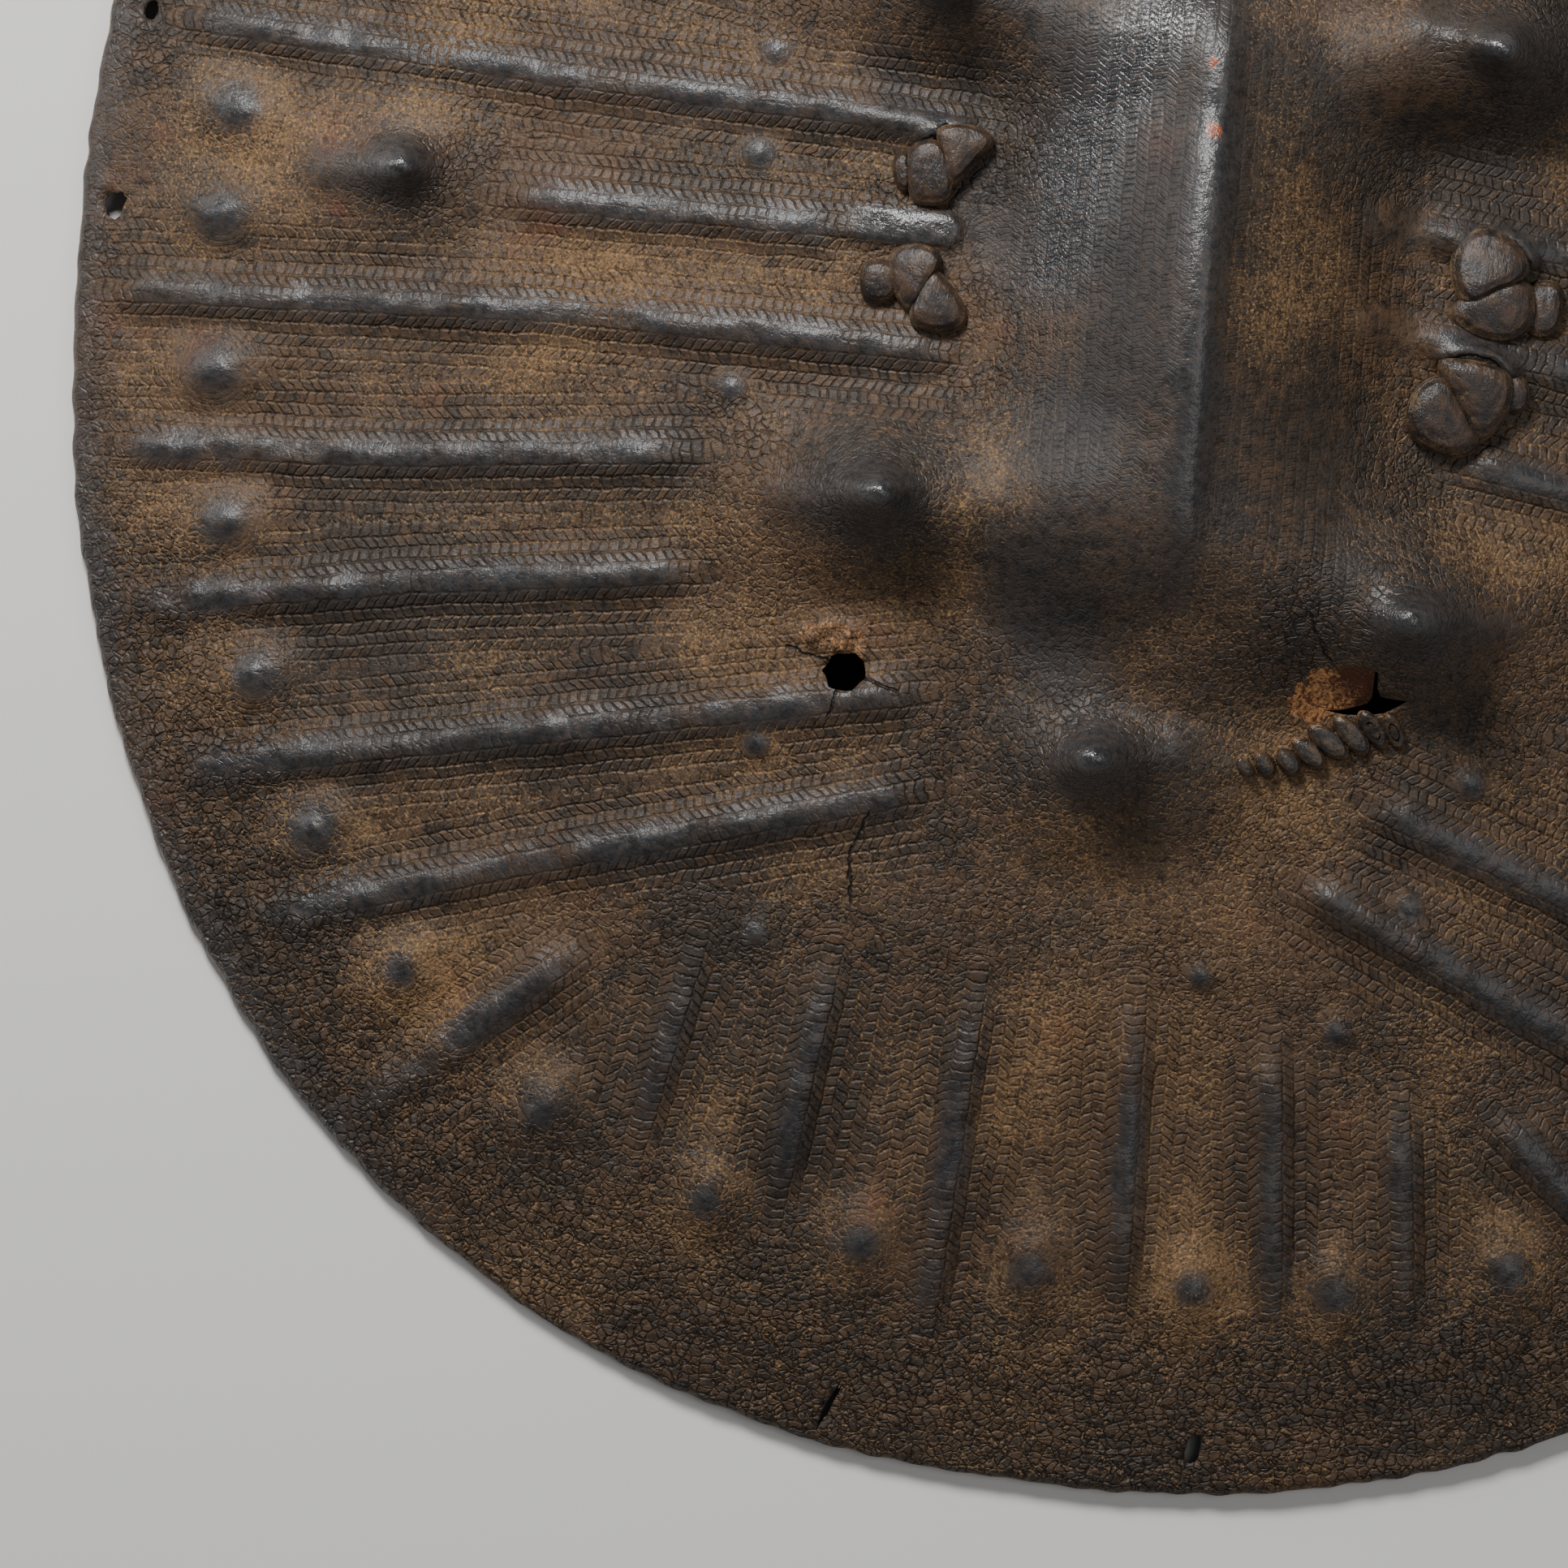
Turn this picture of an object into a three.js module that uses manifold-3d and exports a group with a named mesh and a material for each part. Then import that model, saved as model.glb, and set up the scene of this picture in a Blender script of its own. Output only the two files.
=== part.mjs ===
// A round hide shield, moulded and tooled from one piece of thick hide.
// It lies face up: the rim's cut underside rests on z = 0, +Y runs along the boss's spine to the
// shield's top, and +X runs across it. All sizes are millimetres.
import * as THREE from 'three';
import { mergeVertices } from 'three/addons/utils/BufferGeometryUtils.js';
import Module from 'manifold-3d';

const wasm = await Module();
wasm.setup();

// Driving dimensions of the hide
const WIDTH = 575;
const HEIGHT = 630;
const ROUNDNESS = 2.2;
const HIDE = 5;
const HIDE_SLANT_LIMIT = 1.8;
const RIM_TOP = 5.4;
const RIM_SLANT = 1.4;
const RIM_FOOT = 5;
const RIM_SIDES = 96;
const DISH_RISE = 68;
const DISH_ROUND = 0.75;

// The boss: a cushion with a spine along its crest and a shoulder out to each corner cone
const BOSS_RISE = 34;
const BOSS_LENGTH = 224;
const BOSS_WAIST = 116;
const SHOULDER_SPREAD = 30;
const SHOULDER_Y = 66;
const SHOULDER_LENGTH = 22;
const SHOULDER_RISE = 11;
const SHOULDER_REACH = 27;
const SPINE_RISE = 9;
const SPINE_HALF = 3.4;
const SPINE_FLANK = 5.5;
const SPINE_ENDS = [-91, 95];
const SPINE_POINT = 26;
const SPINE_X = 4.5;
const SPINE_LEAN = -0.045;

// Raised tooling
const RIDGE_RISE = 4.2;
const RIDGE_HALF = 5.2;
const RIDGE_TOP = 1.9;
const RIDGE_TAPER = 16;
const SPINE_INSIDE = 0.7;
const CONE_INSIDE = 0.8;
const CONE_RISE = 22;
const CONE_STEEPNESS = 1.7;
const WING_FALL = 0.5;
const DOME_RISE = 5;
const DOME_LONG = 11.5;
const DOME_WIDE = 8;
const DOME_RING = 0.868;
const DOME_RING_DRAW = 0.048;
const DOME_PAIR_TURN = 0.056;
const STUD_RISE = 2.6;
const STUD_RADIUS = 5;

// The pattern repeats about these lines, and the right-hand side sits a little lower and turned
const MIRROR_X = 4;
const MIRROR_Y = 2;
const RIGHT_TURN = THREE.MathUtils.degToRad(-5);
const RIGHT_DROP = -4;

// Ridges that run across, from the mid line down: outer end, inner end, the bow of the middle,
// and how much shorter the twin on the right is at its inner end
const CROSS_RIDGES = [
  { outer: [-181, 0], inner: [-82, 3.5], bow: 0, shorter: -32 },
  { outer: [-279, -37], inner: [-52, -25.5], bow: 3, shorter: 15 },
  { outer: [-275, -77], inner: [-114, -58.8], bow: -2, shorter: 0 },
  { outer: [-266, -118], inner: [-110, -89.6], bow: 1.5, shorter: 0 },
  { outer: [-246, -159], inner: [-50, -113], bow: 0, shorter: 15 },
  { outer: [-223, -196], inner: [-46, -138], bow: 1, shorter: 6 },
];
// The first ridge above the mid line lies flatter than its twin below
const UPPER_RIDGE = { outer: [-269, 36], inner: [-50, 32], bow: -1, shorter: -5 };
// Ridges of the fan below the boss, from left to right
const FAN_RIDGES = [
  { outer: [-188, -244], inner: [-129, -188], bow: 0 },
  { outer: [-112, -244], inner: [-102, -183], bow: 0 },
  { outer: [-74, -256], inner: [-67, -181], bow: 0 },
  { outer: [-31, -286], inner: [-29, -182], bow: 0 },
  { outer: [18.5, -272], inner: [12, -180], bow: 0 },
  { outer: [60, -273], inner: [48, -187], bow: 0 },
  { outer: [94, -267], inner: [83, -197], bow: 0 },
  { outer: [163, -246], inner: [106, -201], bow: 0 },
];
// Cones pinched up from the hide: the peak, the end of its wing, the base radius and its height;
// the four at the boss's corners stand on its shoulders
const END_CONE = { peak: [-204.7, 4.2], wing: [-224, 1.5], base: 25, rise: 0.75, shoulder: false };
const CONES = [
  END_CONE,
  { ...END_CONE, peak: toRight(END_CONE.peak), wing: toRight(END_CONE.wing) },
  { peak: [-71, -64], wing: [-95, -67.5], base: 27, rise: 1, shoulder: true },
  { peak: [70, -79.5], wing: [95, -76.5], base: 27, rise: 0.9, shoulder: true },
  { peak: [74, 70], wing: [56, 74], base: 27, rise: 1.1, shoulder: true },
  { peak: [-72, 70], wing: [-92, 72], base: 27, rise: 1, shoulder: true },
  { peak: [-7, -125], wing: [12, -120], base: 29, rise: 1.05, shoulder: false },
  { peak: [3, 129], wing: [14, 125], base: 29, rise: 1, shoulder: false },
];
// Small studs between the ridges, below the mid line; those near it have a twin above
const STUDS = [
  [-112.6, 19], [-112, -42], [-94, -132], [-87.5, -181], [28, -177], [65, -187], [91, -119], [79.5, -153],
];

// Slits that let the grip thongs through, and the knot on the front of each
const SLITS = {
  upperLeft: [-66, 27],
  upperRight: [82, 13],
  lowerLeft: [-67, -8],
  lowerRight: [77, -20],
};
const THONG_WIDTH = 14;
const THONG_THICK = 2.8;
const SLIT_GAP = 0.8;
const THONG_BEND = 6;
const THONG_CLEAR = 7;
const GRIP_DROP = 17;
const KNOT_SINK = 5;
const KNOT_LIFT = 0.8;
const KNOT_GAP = 0.5;

// Wear: a hole broken through, a tear and the lacing that holds its lower part, holes at the rim
const BROKEN_HOLE = { at: [-73.4, -110.8], radii: [5.6, 4.8, 5.3, 4.4, 5.7, 5.0, 5.4, 4.3] };
const TEAR_GAP = { at: [62, -102], long: 21, wide: 4.6, turn: 0.06 };
const TEAR_PATCH = { at: [52, -98.5], long: 19, wide: 11, turn: -0.35, deep: 2 };
const LACED_SEAM = [[31, -122.4], [41, -120.6], [50, -116], [59, -110.6], [70, -108.6]];
const LASHES = 8;
const LACE_HALF = 1.15;
const LACE_SIDE = 4.3;
const LACE_GAP = 0.5;
const LASH = [2.2, 4.8, 1.9];
const LASH_SLANT = -0.4;
const RIM_HOLES = [
  { at: [-274.5, 37], long: 5.2, wide: 3.6, turn: 1.4 },
  { at: [-277.5, -14.5], long: 7.4, wide: 5.4, turn: 1.3 },
  { at: [-52.6, -300.5], long: 13, wide: 1.6, turn: 1.2 },
  { at: [43, -299.5], long: 8.6, wide: 4, turn: 1.45 },
];

// The spacing of the facets
const FIELD_STEP = 23;
const INSIDE_STEP = 37;
const RIDGE_STEP = 25;
const MIN_TURN = 8;
const CLEAR_GAIN = 1.2;
const SLIT_RING = 13;

const HALF_X = WIDTH / 2;
const HALF_Y = HEIGHT / 2;
const clamp = THREE.MathUtils.clamp;
const ease = (t) => clamp(t, 0, 1) ** 2 * (3 - 2 * clamp(t, 0, 1));
const bell = (q) => Math.max(0, 1 - q * q) ** 2;

// How far out a point lies: 0 at the centre, 1 on the outline
function reach(x, y) {
  return (Math.abs(x / HALF_X) ** ROUNDNESS + Math.abs(y / HALF_Y) ** ROUNDNESS) ** (1 / ROUNDNESS);
}

// The point of the outline at an angle, drawn in by an inset
function outline(angle, inset = 0) {
  const c = Math.cos(angle);
  const s = Math.sin(angle);
  const radius = ((Math.abs(c) / (HALF_X - inset)) ** ROUNDNESS
    + (Math.abs(s) / (HALF_Y - inset)) ** ROUNDNESS) ** (-1 / ROUNDNESS);
  return [radius * c, radius * s];
}

// How far a point lies from a segment, and how far along it the nearest point is, 0 to 1
function fromSegment(x, y, [ax, ay], [bx, by]) {
  const dx = bx - ax;
  const dy = by - ay;
  const along = clamp(((x - ax) * dx + (y - ay) * dy) / (dx * dx + dy * dy), 0, 1);
  return { away: Math.hypot(x - ax - along * dx, y - ay - along * dy), along };
}

const spineX = (y) => SPINE_X + SPINE_LEAN * y;

// The dish of the shield, a little flatter towards the rim
function dish(x, y) {
  const out = Math.min(reach(x, y), 1);
  const flared = (1 + Math.cos(Math.PI * out)) / 2;
  return DISH_RISE * (DISH_ROUND * (1 - out * out) + (1 - DISH_ROUND) * flared);
}

function boss(x, y) {
  const fromShoulder = (Math.abs(y) - SHOULDER_Y) / SHOULDER_LENGTH;
  const spread = BOSS_WAIST / 2 + SHOULDER_SPREAD * Math.exp(-(fromShoulder ** 2));
  const length = Math.max(0, 1 - (2 * y / BOSS_LENGTH) ** 2);
  let rise = BOSS_RISE * bell((x - spineX(y)) / spread) * length;
  for (const { peak } of CONES.filter((cone) => cone.shoulder)) {
    const root = [spineX(peak[1]), peak[1]];
    rise += SHOULDER_RISE * bell(fromSegment(x, y, root, peak).away / SHOULDER_REACH);
  }
  return rise;
}

// The spine's smooth crest, which narrows to a point at each end
function spine(x, y) {
  const toEnd = Math.min(y - SPINE_ENDS[0], SPINE_ENDS[1] - y) / SPINE_POINT;
  if (toEnd <= 0) {
    return 0;
  }
  const full = Math.min(toEnd, 1);
  const away = Math.abs(x - spineX(y)) - SPINE_HALF * full;
  return SPINE_RISE * Math.sqrt(full) * ease(1 - away / (SPINE_FLANK * full));
}

function cones(x, y) {
  let rise = 0;
  for (const { peak, wing, base, rise: scale } of CONES) {
    const { away, along } = fromSegment(x, y, peak, wing);
    const flank = Math.max(0, 1 - away / base) ** CONE_STEEPNESS;
    rise = Math.max(rise, CONE_RISE * scale * (1 - WING_FALL * along) * flank);
  }
  return rise;
}

// How steeply a height rises along x and along y
function slopes(height, x, y, step = 2) {
  return [
    (height(x + step, y) - height(x - step, y)) / (2 * step),
    (height(x, y + step) - height(x, y - step)) / (2 * step),
  ];
}

// The front of the hide without its fine tooling
const form = (x, y) => RIM_TOP + dish(x, y) + boss(x, y) + spine(x, y) + cones(x, y);

// The hollow side follows the large forms one hide's thickness behind them
function hollow(x, y) {
  const soft = (px, py) => RIM_TOP + dish(px, py) + boss(px, py)
    + SPINE_INSIDE * spine(px, py) + CONE_INSIDE * cones(px, py);
  const slanted = Math.hypot(1, ...slopes(soft, x, y));
  return Math.max(0, soft(x, y) - HIDE * Math.min(slanted, HIDE_SLANT_LIMIT));
}

// The right-hand twin of a point
function toRight([x, y]) {
  const across = MIRROR_X - x;
  return [
    MIRROR_X + across * Math.cos(RIGHT_TURN) - y * Math.sin(RIGHT_TURN),
    across * Math.sin(RIGHT_TURN) + y * Math.cos(RIGHT_TURN) + RIGHT_DROP,
  ];
}

// Every ridge of the pattern: the rows above, their twins over the mid line and on the right
function allRidges() {
  const up = ([x, y]) => [x, 2 * MIRROR_Y - y];
  const upTwin = (ridge) => ({ ...ridge, outer: up(ridge.outer), inner: up(ridge.inner), bow: -ridge.bow });
  const left = [...CROSS_RIDGES, UPPER_RIDGE, ...CROSS_RIDGES.slice(2).map(upTwin)];
  const right = left.map(({ outer, inner, bow, shorter }) => {
    const full = { outer: toRight(outer), inner: toRight(inner), bow: -bow };
    const length = Math.hypot(full.inner[0] - full.outer[0], full.inner[1] - full.outer[1]);
    const kept = 1 - shorter / length;
    const end = full.outer.map((value, axis) => value + (full.inner[axis] - value) * kept);
    return { ...full, inner: end };
  });
  return [...left, ...right, ...FAN_RIDGES, ...FAN_RIDGES.map(upTwin)];
}
const RIDGES = allRidges();

// A point along a ridge's bowed centre line, 0 at the outer end and 1 at the inner end
function ridgePoint({ outer, inner, bow }, t) {
  const dx = inner[0] - outer[0];
  const dy = inner[1] - outer[1];
  const length = Math.hypot(dx, dy);
  const lift = 4 * bow * t * (1 - t);
  return [outer[0] + dx * t - (dy / length) * lift, outer[1] + dy * t + (dx / length) * lift];
}

// Domes stand near the rim, one between each two ridges and a pair about each side's short ridge
function allDomes() {
  const longest = 0.8;
  const angles = RIDGES.filter(({ outer }) => reach(...outer) > longest).map((ridge) => {
    const steps = Array.from({ length: 80 }, (_, i) => ridgePoint(ridge, (i - 30) / 100));
    const offRing = ([x, y]) => Math.abs(reach(x, y) - DOME_RING);
    const [x, y] = steps.reduce((best, point) => (offRing(point) < offRing(best) ? point : best));
    return (Math.atan2(y, x) + 2 * Math.PI) % (2 * Math.PI);
  }).sort((a, b) => a - b);
  const domes = [];
  angles.forEach((angle, index) => {
    const next = index + 1 < angles.length ? angles[index + 1] : angles[0] + 2 * Math.PI;
    const middle = (angle + next) / 2;
    const pair = next - angle > 4 * DOME_PAIR_TURN && Math.abs(Math.sin(middle)) < 0.3;
    for (const turn of pair ? [-DOME_PAIR_TURN, DOME_PAIR_TURN] : [0]) {
      const fromEnd = 1 - Math.abs(Math.sin(middle));
      const ring = DOME_RING - DOME_RING_DRAW * Math.exp(-12 * fromEnd);
      const [x, y] = outline(middle + turn).map((value) => value * ring);
      domes.push({ at: [x, y], turn: Math.atan2(y, x) });
    }
  });
  return domes;
}
const DOMES = allDomes();

// The studs, their twins over the mid line and a few on the right
function allStuds() {
  const twins = STUDS.filter(([x, y]) => Math.abs(y) > 100 || x < -100);
  const above = twins.map(([x, y]) => [x, 2 * MIRROR_Y - y]).filter(([, y]) => y > 30);
  const right = [[118, 8], [121, -56], [118, 40]];
  return [...STUDS, ...above, ...right];
}
const ALL_STUDS = allStuds();

const SEAM = new THREE.CatmullRomCurve3(LACED_SEAM.map(([x, y]) => new THREE.Vector3(x, y, 0)));

// How far the flat-topped ridges stand up at a point
function ridgeRise(x, y) {
  let rise = 0;
  for (const ridge of RIDGES) {
    const halves = [[ridge.outer, ridgePoint(ridge, 0.5)], [ridgePoint(ridge, 0.5), ridge.inner]];
    for (const [a, b] of halves) {
      const { away } = fromSegment(x, y, a, b);
      if (away < RIDGE_HALF) {
        const toEnd = Math.min(Math.hypot(x - ridge.outer[0], y - ridge.outer[1]),
          Math.hypot(x - ridge.inner[0], y - ridge.inner[1])) / (RIDGE_TAPER / 2);
        const across = clamp((RIDGE_HALF - away) / (RIDGE_HALF - RIDGE_TOP), 0, 1);
        rise = Math.max(rise, RIDGE_RISE * across * Math.min(toEnd, 1));
      }
    }
  }
  return rise;
}

// All the raised tooling at a point: ridges, domes and studs
function relief(x, y) {
  let rise = ridgeRise(x, y);
  for (const { at, turn } of DOMES) {
    const dx = x - at[0];
    const dy = y - at[1];
    const u = (dx * Math.cos(turn) + dy * Math.sin(turn)) / DOME_LONG;
    const v = (dy * Math.cos(turn) - dx * Math.sin(turn)) / DOME_WIDE;
    rise = Math.max(rise, DOME_RISE * (1 - Math.hypot(u, v) ** 2));
  }
  for (const [sx, sy] of ALL_STUDS) {
    rise = Math.max(rise, STUD_RISE * (1 - Math.hypot(x - sx, y - sy) / STUD_RADIUS));
  }
  return rise;
}

const face = (x, y) => form(x, y) + relief(x, y);

// Points gathered for the facets, each kept only where no earlier one is close
class Points {
  constructor() {
    this.list = [];
  }

  add(x, y, z, clear = 2) {
    if (!this.list.some((p) => Math.hypot(p[0] - x, p[1] - y) < clear)) {
      this.list.push([x, y, z]);
    }
  }
}

// The triangles of a set of points whose outer ones make a convex outline
function triangulate(points) {
  const far = 1e5;
  const all = points.map(([x, y], i) => [x + 1e-4 * Math.sin(i * 12.9), y + 1e-4 * Math.sin(i * 78.2)]);
  const count = all.length;
  all.push([-far, -far], [far, -far], [0, far]);
  const circle = (a, b, c) => {
    const [ax, ay] = all[a];
    const bx = all[b][0] - ax;
    const by = all[b][1] - ay;
    const cx = all[c][0] - ax;
    const cy = all[c][1] - ay;
    const twice = 2 * (bx * cy - by * cx);
    const ux = (cy * (bx * bx + by * by) - by * (cx * cx + cy * cy)) / twice;
    const uy = (bx * (cx * cx + cy * cy) - cx * (bx * bx + by * by)) / twice;
    return { corners: [a, b, c], x: ax + ux, y: ay + uy, r2: ux * ux + uy * uy };
  };
  let triangles = [circle(count, count + 1, count + 2)];
  for (let i = 0; i < count; i += 1) {
    const [px, py] = all[i];
    const open = new Map();
    const kept = [];
    for (const triangle of triangles) {
      if ((px - triangle.x) ** 2 + (py - triangle.y) ** 2 >= triangle.r2) {
        kept.push(triangle);
        continue;
      }
      const [a, b, c] = triangle.corners;
      for (const [from, to] of [[a, b], [b, c], [c, a]]) {
        if (!open.delete(`${to},${from}`)) {
          open.set(`${from},${to}`, [from, to]);
        }
      }
    }
    for (const [from, to] of open.values()) {
      kept.push(circle(from, to, i));
    }
    triangles = kept;
  }
  return triangles.map(({ corners }) => corners).filter((corners) => corners.every((c) => c < count));
}

// Turns the shared edge of two facets where the other diagonal follows the surface better
function followSurface(points, triangles, height) {
  const miss = (a, b) => [0.25, 0.5, 0.75].reduce((sum, t) => {
    const [x, y, z] = points[a].map((value, axis) => value + (points[b][axis] - value) * t);
    return sum + Math.abs(height(x, y) - z);
  }, 0);
  const side = (a, b, c) => (points[b][0] - points[a][0]) * (points[c][1] - points[a][1])
    - (points[b][1] - points[a][1]) * (points[c][0] - points[a][0]);
  for (let pass = 0; pass < 6; pass += 1) {
    const owner = new Map();
    const changed = new Set();
    triangles.forEach((corners, index) => corners.forEach((from, i) => {
      owner.set(`${from},${corners[(i + 1) % 3]}`, index);
    }));
    for (const [key, first] of owner) {
      const [a, b] = key.split(',').map(Number);
      const second = owner.get(`${b},${a}`);
      if (a > b || second === undefined || changed.has(first) || changed.has(second)) {
        continue;
      }
      const c = triangles[first].find((corner) => corner !== a && corner !== b);
      const d = triangles[second].find((corner) => corner !== a && corner !== b);
      const convex = side(d, b, c) > MIN_TURN && side(d, c, a) > MIN_TURN;
      if (convex && miss(c, d) < miss(a, b) - CLEAR_GAIN) {
        triangles[first] = [d, b, c];
        triangles[second] = [d, c, a];
        changed.add(first).add(second);
      }
    }
  }
  return triangles;
}

// Rings of facets about a cone, as shares of its base, and rows beside the spine
const CONE_RINGS = [[0.16, 6], [0.42, 9], [0.8, 10]];
const SPINE_ROWS = 15;
const BOSS_ROWS = [-50, -34, -20, 20, 34, 50];
const INSIDE_ROWS = [0, -13, 13, -28, 28, -46, 46];

// The points of the front: rim, ridges, domes, cones and boss, then an even field between them
function frontPoints() {
  const points = new Points();
  for (let i = 0; i < RIM_SIDES; i += 1) {
    points.add(...outline((i / RIM_SIDES) * 2 * Math.PI, RIM_SLANT), RIM_TOP, 0);
  }
  const rim = points.list.length;
  const lift = (x, y, clear) => points.add(x, y, face(x, y), clear);
  const liftBeside = (x, y, clear) => {
    if (ridgeRise(x, y) === 0) {
      lift(x, y, clear);
    }
  };
  for (const ridge of RIDGES) {
    const length = Math.hypot(ridge.inner[0] - ridge.outer[0], ridge.inner[1] - ridge.outer[1]);
    const steps = Math.max(2, Math.round((length - RIDGE_TAPER) / RIDGE_STEP));
    const first = RIDGE_TAPER / 2 / length;
    for (const end of [0, 1]) {
      const [x, y] = ridgePoint(ridge, end);
      if (reach(x, y) < 0.975) {
        lift(x, y, 4);
      }
    }
    for (let i = 0; i <= steps; i += 1) {
      const t = first + (i / steps) * (1 - 2 * first);
      const [x, y] = ridgePoint(ridge, t);
      const [nx, ny] = ridgePoint(ridge, t + 0.01);
      const size = Math.hypot(nx - x, ny - y);
      const side = [-(ny - y) / size, (nx - x) / size];
      for (const away of [-RIDGE_TOP, RIDGE_TOP, -RIDGE_HALF, RIDGE_HALF]) {
        const px = x + side[0] * away;
        const py = y + side[1] * away;
        if (reach(px, py) < 0.985) {
          lift(px, py, 3);
        }
      }
    }
  }
  for (const { peak, wing, base, rise } of CONES) {
    for (let i = 0; i <= 2; i += 1) {
      const t = i / 2;
      lift(peak[0] + (wing[0] - peak[0]) * t, peak[1] + (wing[1] - peak[1]) * t, 1.5);
    }
    const wingTurn = Math.atan2(wing[1] - peak[1], wing[0] - peak[0]);
    for (const [share, sides] of CONE_RINGS) {
      for (let i = 0; i < sides; i += 1) {
        const turn = wingTurn + (2 * Math.PI * (i + 0.5)) / sides;
        const nearWing = Math.max(0, Math.cos(turn - wingTurn));
        const ahead = Math.hypot(wing[0] - peak[0], wing[1] - peak[1]) * nearWing;
        const radius = base * share * (0.8 + 0.2 * rise) + ahead;
        liftBeside(peak[0] + radius * Math.cos(turn), peak[1] + radius * Math.sin(turn), 3);
      }
    }
  }
  for (let row = 0; row <= SPINE_ROWS; row += 1) {
    const y = SPINE_ENDS[0] + (row / SPINE_ROWS) * (SPINE_ENDS[1] - SPINE_ENDS[0]);
    const full = clamp(Math.min(y - SPINE_ENDS[0], SPINE_ENDS[1] - y) / SPINE_POINT, 0.02, 1);
    for (const away of [-1, 1]) {
      lift(spineX(y) + away * SPINE_HALF * full, y, 2);
      lift(spineX(y) + away * (SPINE_HALF + SPINE_FLANK) * full, y, 2.5);
    }
    for (const away of BOSS_ROWS) {
      liftBeside(spineX(y) + away, y, 8);
    }
  }
  for (let i = 0; i <= 6; i += 1) {
    const at = SEAM.getPointAt(i / 6);
    const along = SEAM.getTangentAt(i / 6);
    for (const away of [-7, 0, 7]) {
      liftBeside(at.x - along.y * away, at.y + along.x * away, 4);
    }
  }
  for (const [x, y] of Object.values(SLITS)) {
    for (let i = 0; i < 6; i += 1) {
      const a = (i * Math.PI) / 3;
      liftBeside(x + SLIT_RING * Math.cos(a), y + SLIT_RING * Math.sin(a), 5);
    }
  }
  for (const { at, turn } of DOMES) {
    lift(...at, 3);
    for (const [share, sides] of [[0.5, 6], [1, 8]]) {
      for (let i = 0; i < sides; i += 1) {
        const a = (2 * Math.PI * i) / sides;
        lift(...placed(at, turn, DOME_LONG * share * Math.cos(a), DOME_WIDE * share * Math.sin(a)), 2.5);
      }
    }
  }
  for (const [x, y] of ALL_STUDS) {
    lift(x, y, 3);
    for (let i = 0; i < 6; i += 1) {
      lift(x + STUD_RADIUS * Math.cos(i * Math.PI / 3), y + STUD_RADIUS * Math.sin(i * Math.PI / 3), 3);
    }
  }
  fillField(points, FIELD_STEP, 0.955, face);
  return { points: points.list, rim };
}

// An even triangular field of points inside a share of the outline
function fillField(points, step, limit, height) {
  const row = step * Math.sqrt(0.75);
  const rows = Math.ceil(HALF_Y / row);
  const columns = Math.ceil(HALF_X / step);
  for (let j = -rows; j <= rows; j += 1) {
    for (let i = -columns; i <= columns; i += 1) {
      const x = (i + (j % 2 === 0 ? 0 : 0.5)) * step;
      const y = j * row;
      if (reach(x, y) < limit && (height !== face || ridgeRise(x, y) === 0)) {
        points.add(x, y, height(x, y), step * 0.52);
      }
    }
  }
}

// The points of the hollow side, with more on the boss and the cones
function hollowPoints() {
  const points = new Points();
  for (let i = 0; i < RIM_SIDES; i += 1) {
    points.add(...outline((i / RIM_SIDES) * 2 * Math.PI, RIM_FOOT), 0, 0);
  }
  for (const { peak, base } of CONES) {
    points.add(...peak, hollow(...peak));
    for (let i = 0; i < 7; i += 1) {
      const x = peak[0] + base * 0.55 * Math.cos(i * 0.9);
      const y = peak[1] + base * 0.55 * Math.sin(i * 0.9);
      points.add(x, y, hollow(x, y), 5);
    }
  }
  for (let y = SPINE_ENDS[0] - 15; y <= SPINE_ENDS[1] + 15; y += 18) {
    for (const away of INSIDE_ROWS) {
      points.add(spineX(y) + away, y, hollow(spineX(y) + away, y), 8);
    }
  }
  fillField(points, INSIDE_STEP, 0.95, hollow);
  return points.list;
}

// A closed geometry from corner points and triangles
function facets(corners, triangles) {
  const geometry = new THREE.BufferGeometry();
  geometry.setAttribute('position', new THREE.Float32BufferAttribute(corners.flat(), 3));
  geometry.setIndex(triangles.flat());
  return geometry;
}

// The whole hide before it is cut: front, slanted rim, flat rim foot and hollow side
function hideGeometry() {
  const { points: front, rim } = frontPoints();
  const back = hollowPoints();
  const foot = [];
  for (let i = 0; i < rim; i += 1) {
    foot.push([...outline((i / rim) * 2 * Math.PI), 0]);
  }
  const footStart = front.length;
  const backStart = footStart + foot.length;
  const triangles = followSurface(front, triangulate(front), face);
  for (const [a, b, c] of triangulate(back)) {
    triangles.push([backStart + a, backStart + c, backStart + b]);
  }
  for (let i = 0; i < rim; i += 1) {
    const j = (i + 1) % rim;
    triangles.push([i, footStart + i, footStart + j], [i, footStart + j, j]);
    triangles.push([footStart + i, backStart + i, backStart + j]);
    triangles.push([footStart + i, backStart + j, footStart + j]);
  }
  return facets([...front, ...foot, ...back], triangles);
}

function toSolid(geometry) {
  const bare = geometry.clone();
  bare.deleteAttribute('normal');
  bare.deleteAttribute('uv');
  const merged = mergeVertices(bare, 1e-4);
  return new wasm.Manifold(new wasm.Mesh({
    numProp: 3,
    vertProperties: new Float32Array(merged.attributes.position.array),
    triVerts: new Uint32Array(merged.index.array),
  }));
}

function toGeometry(solid) {
  const mesh = solid.getMesh();
  const geometry = new THREE.BufferGeometry();
  geometry.setAttribute('position', new THREE.BufferAttribute(Float32Array.from(mesh.vertProperties), 3));
  geometry.setIndex(new THREE.BufferAttribute(Uint32Array.from(mesh.triVerts), 1));
  geometry.computeVertexNormals();
  return geometry;
}

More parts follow.
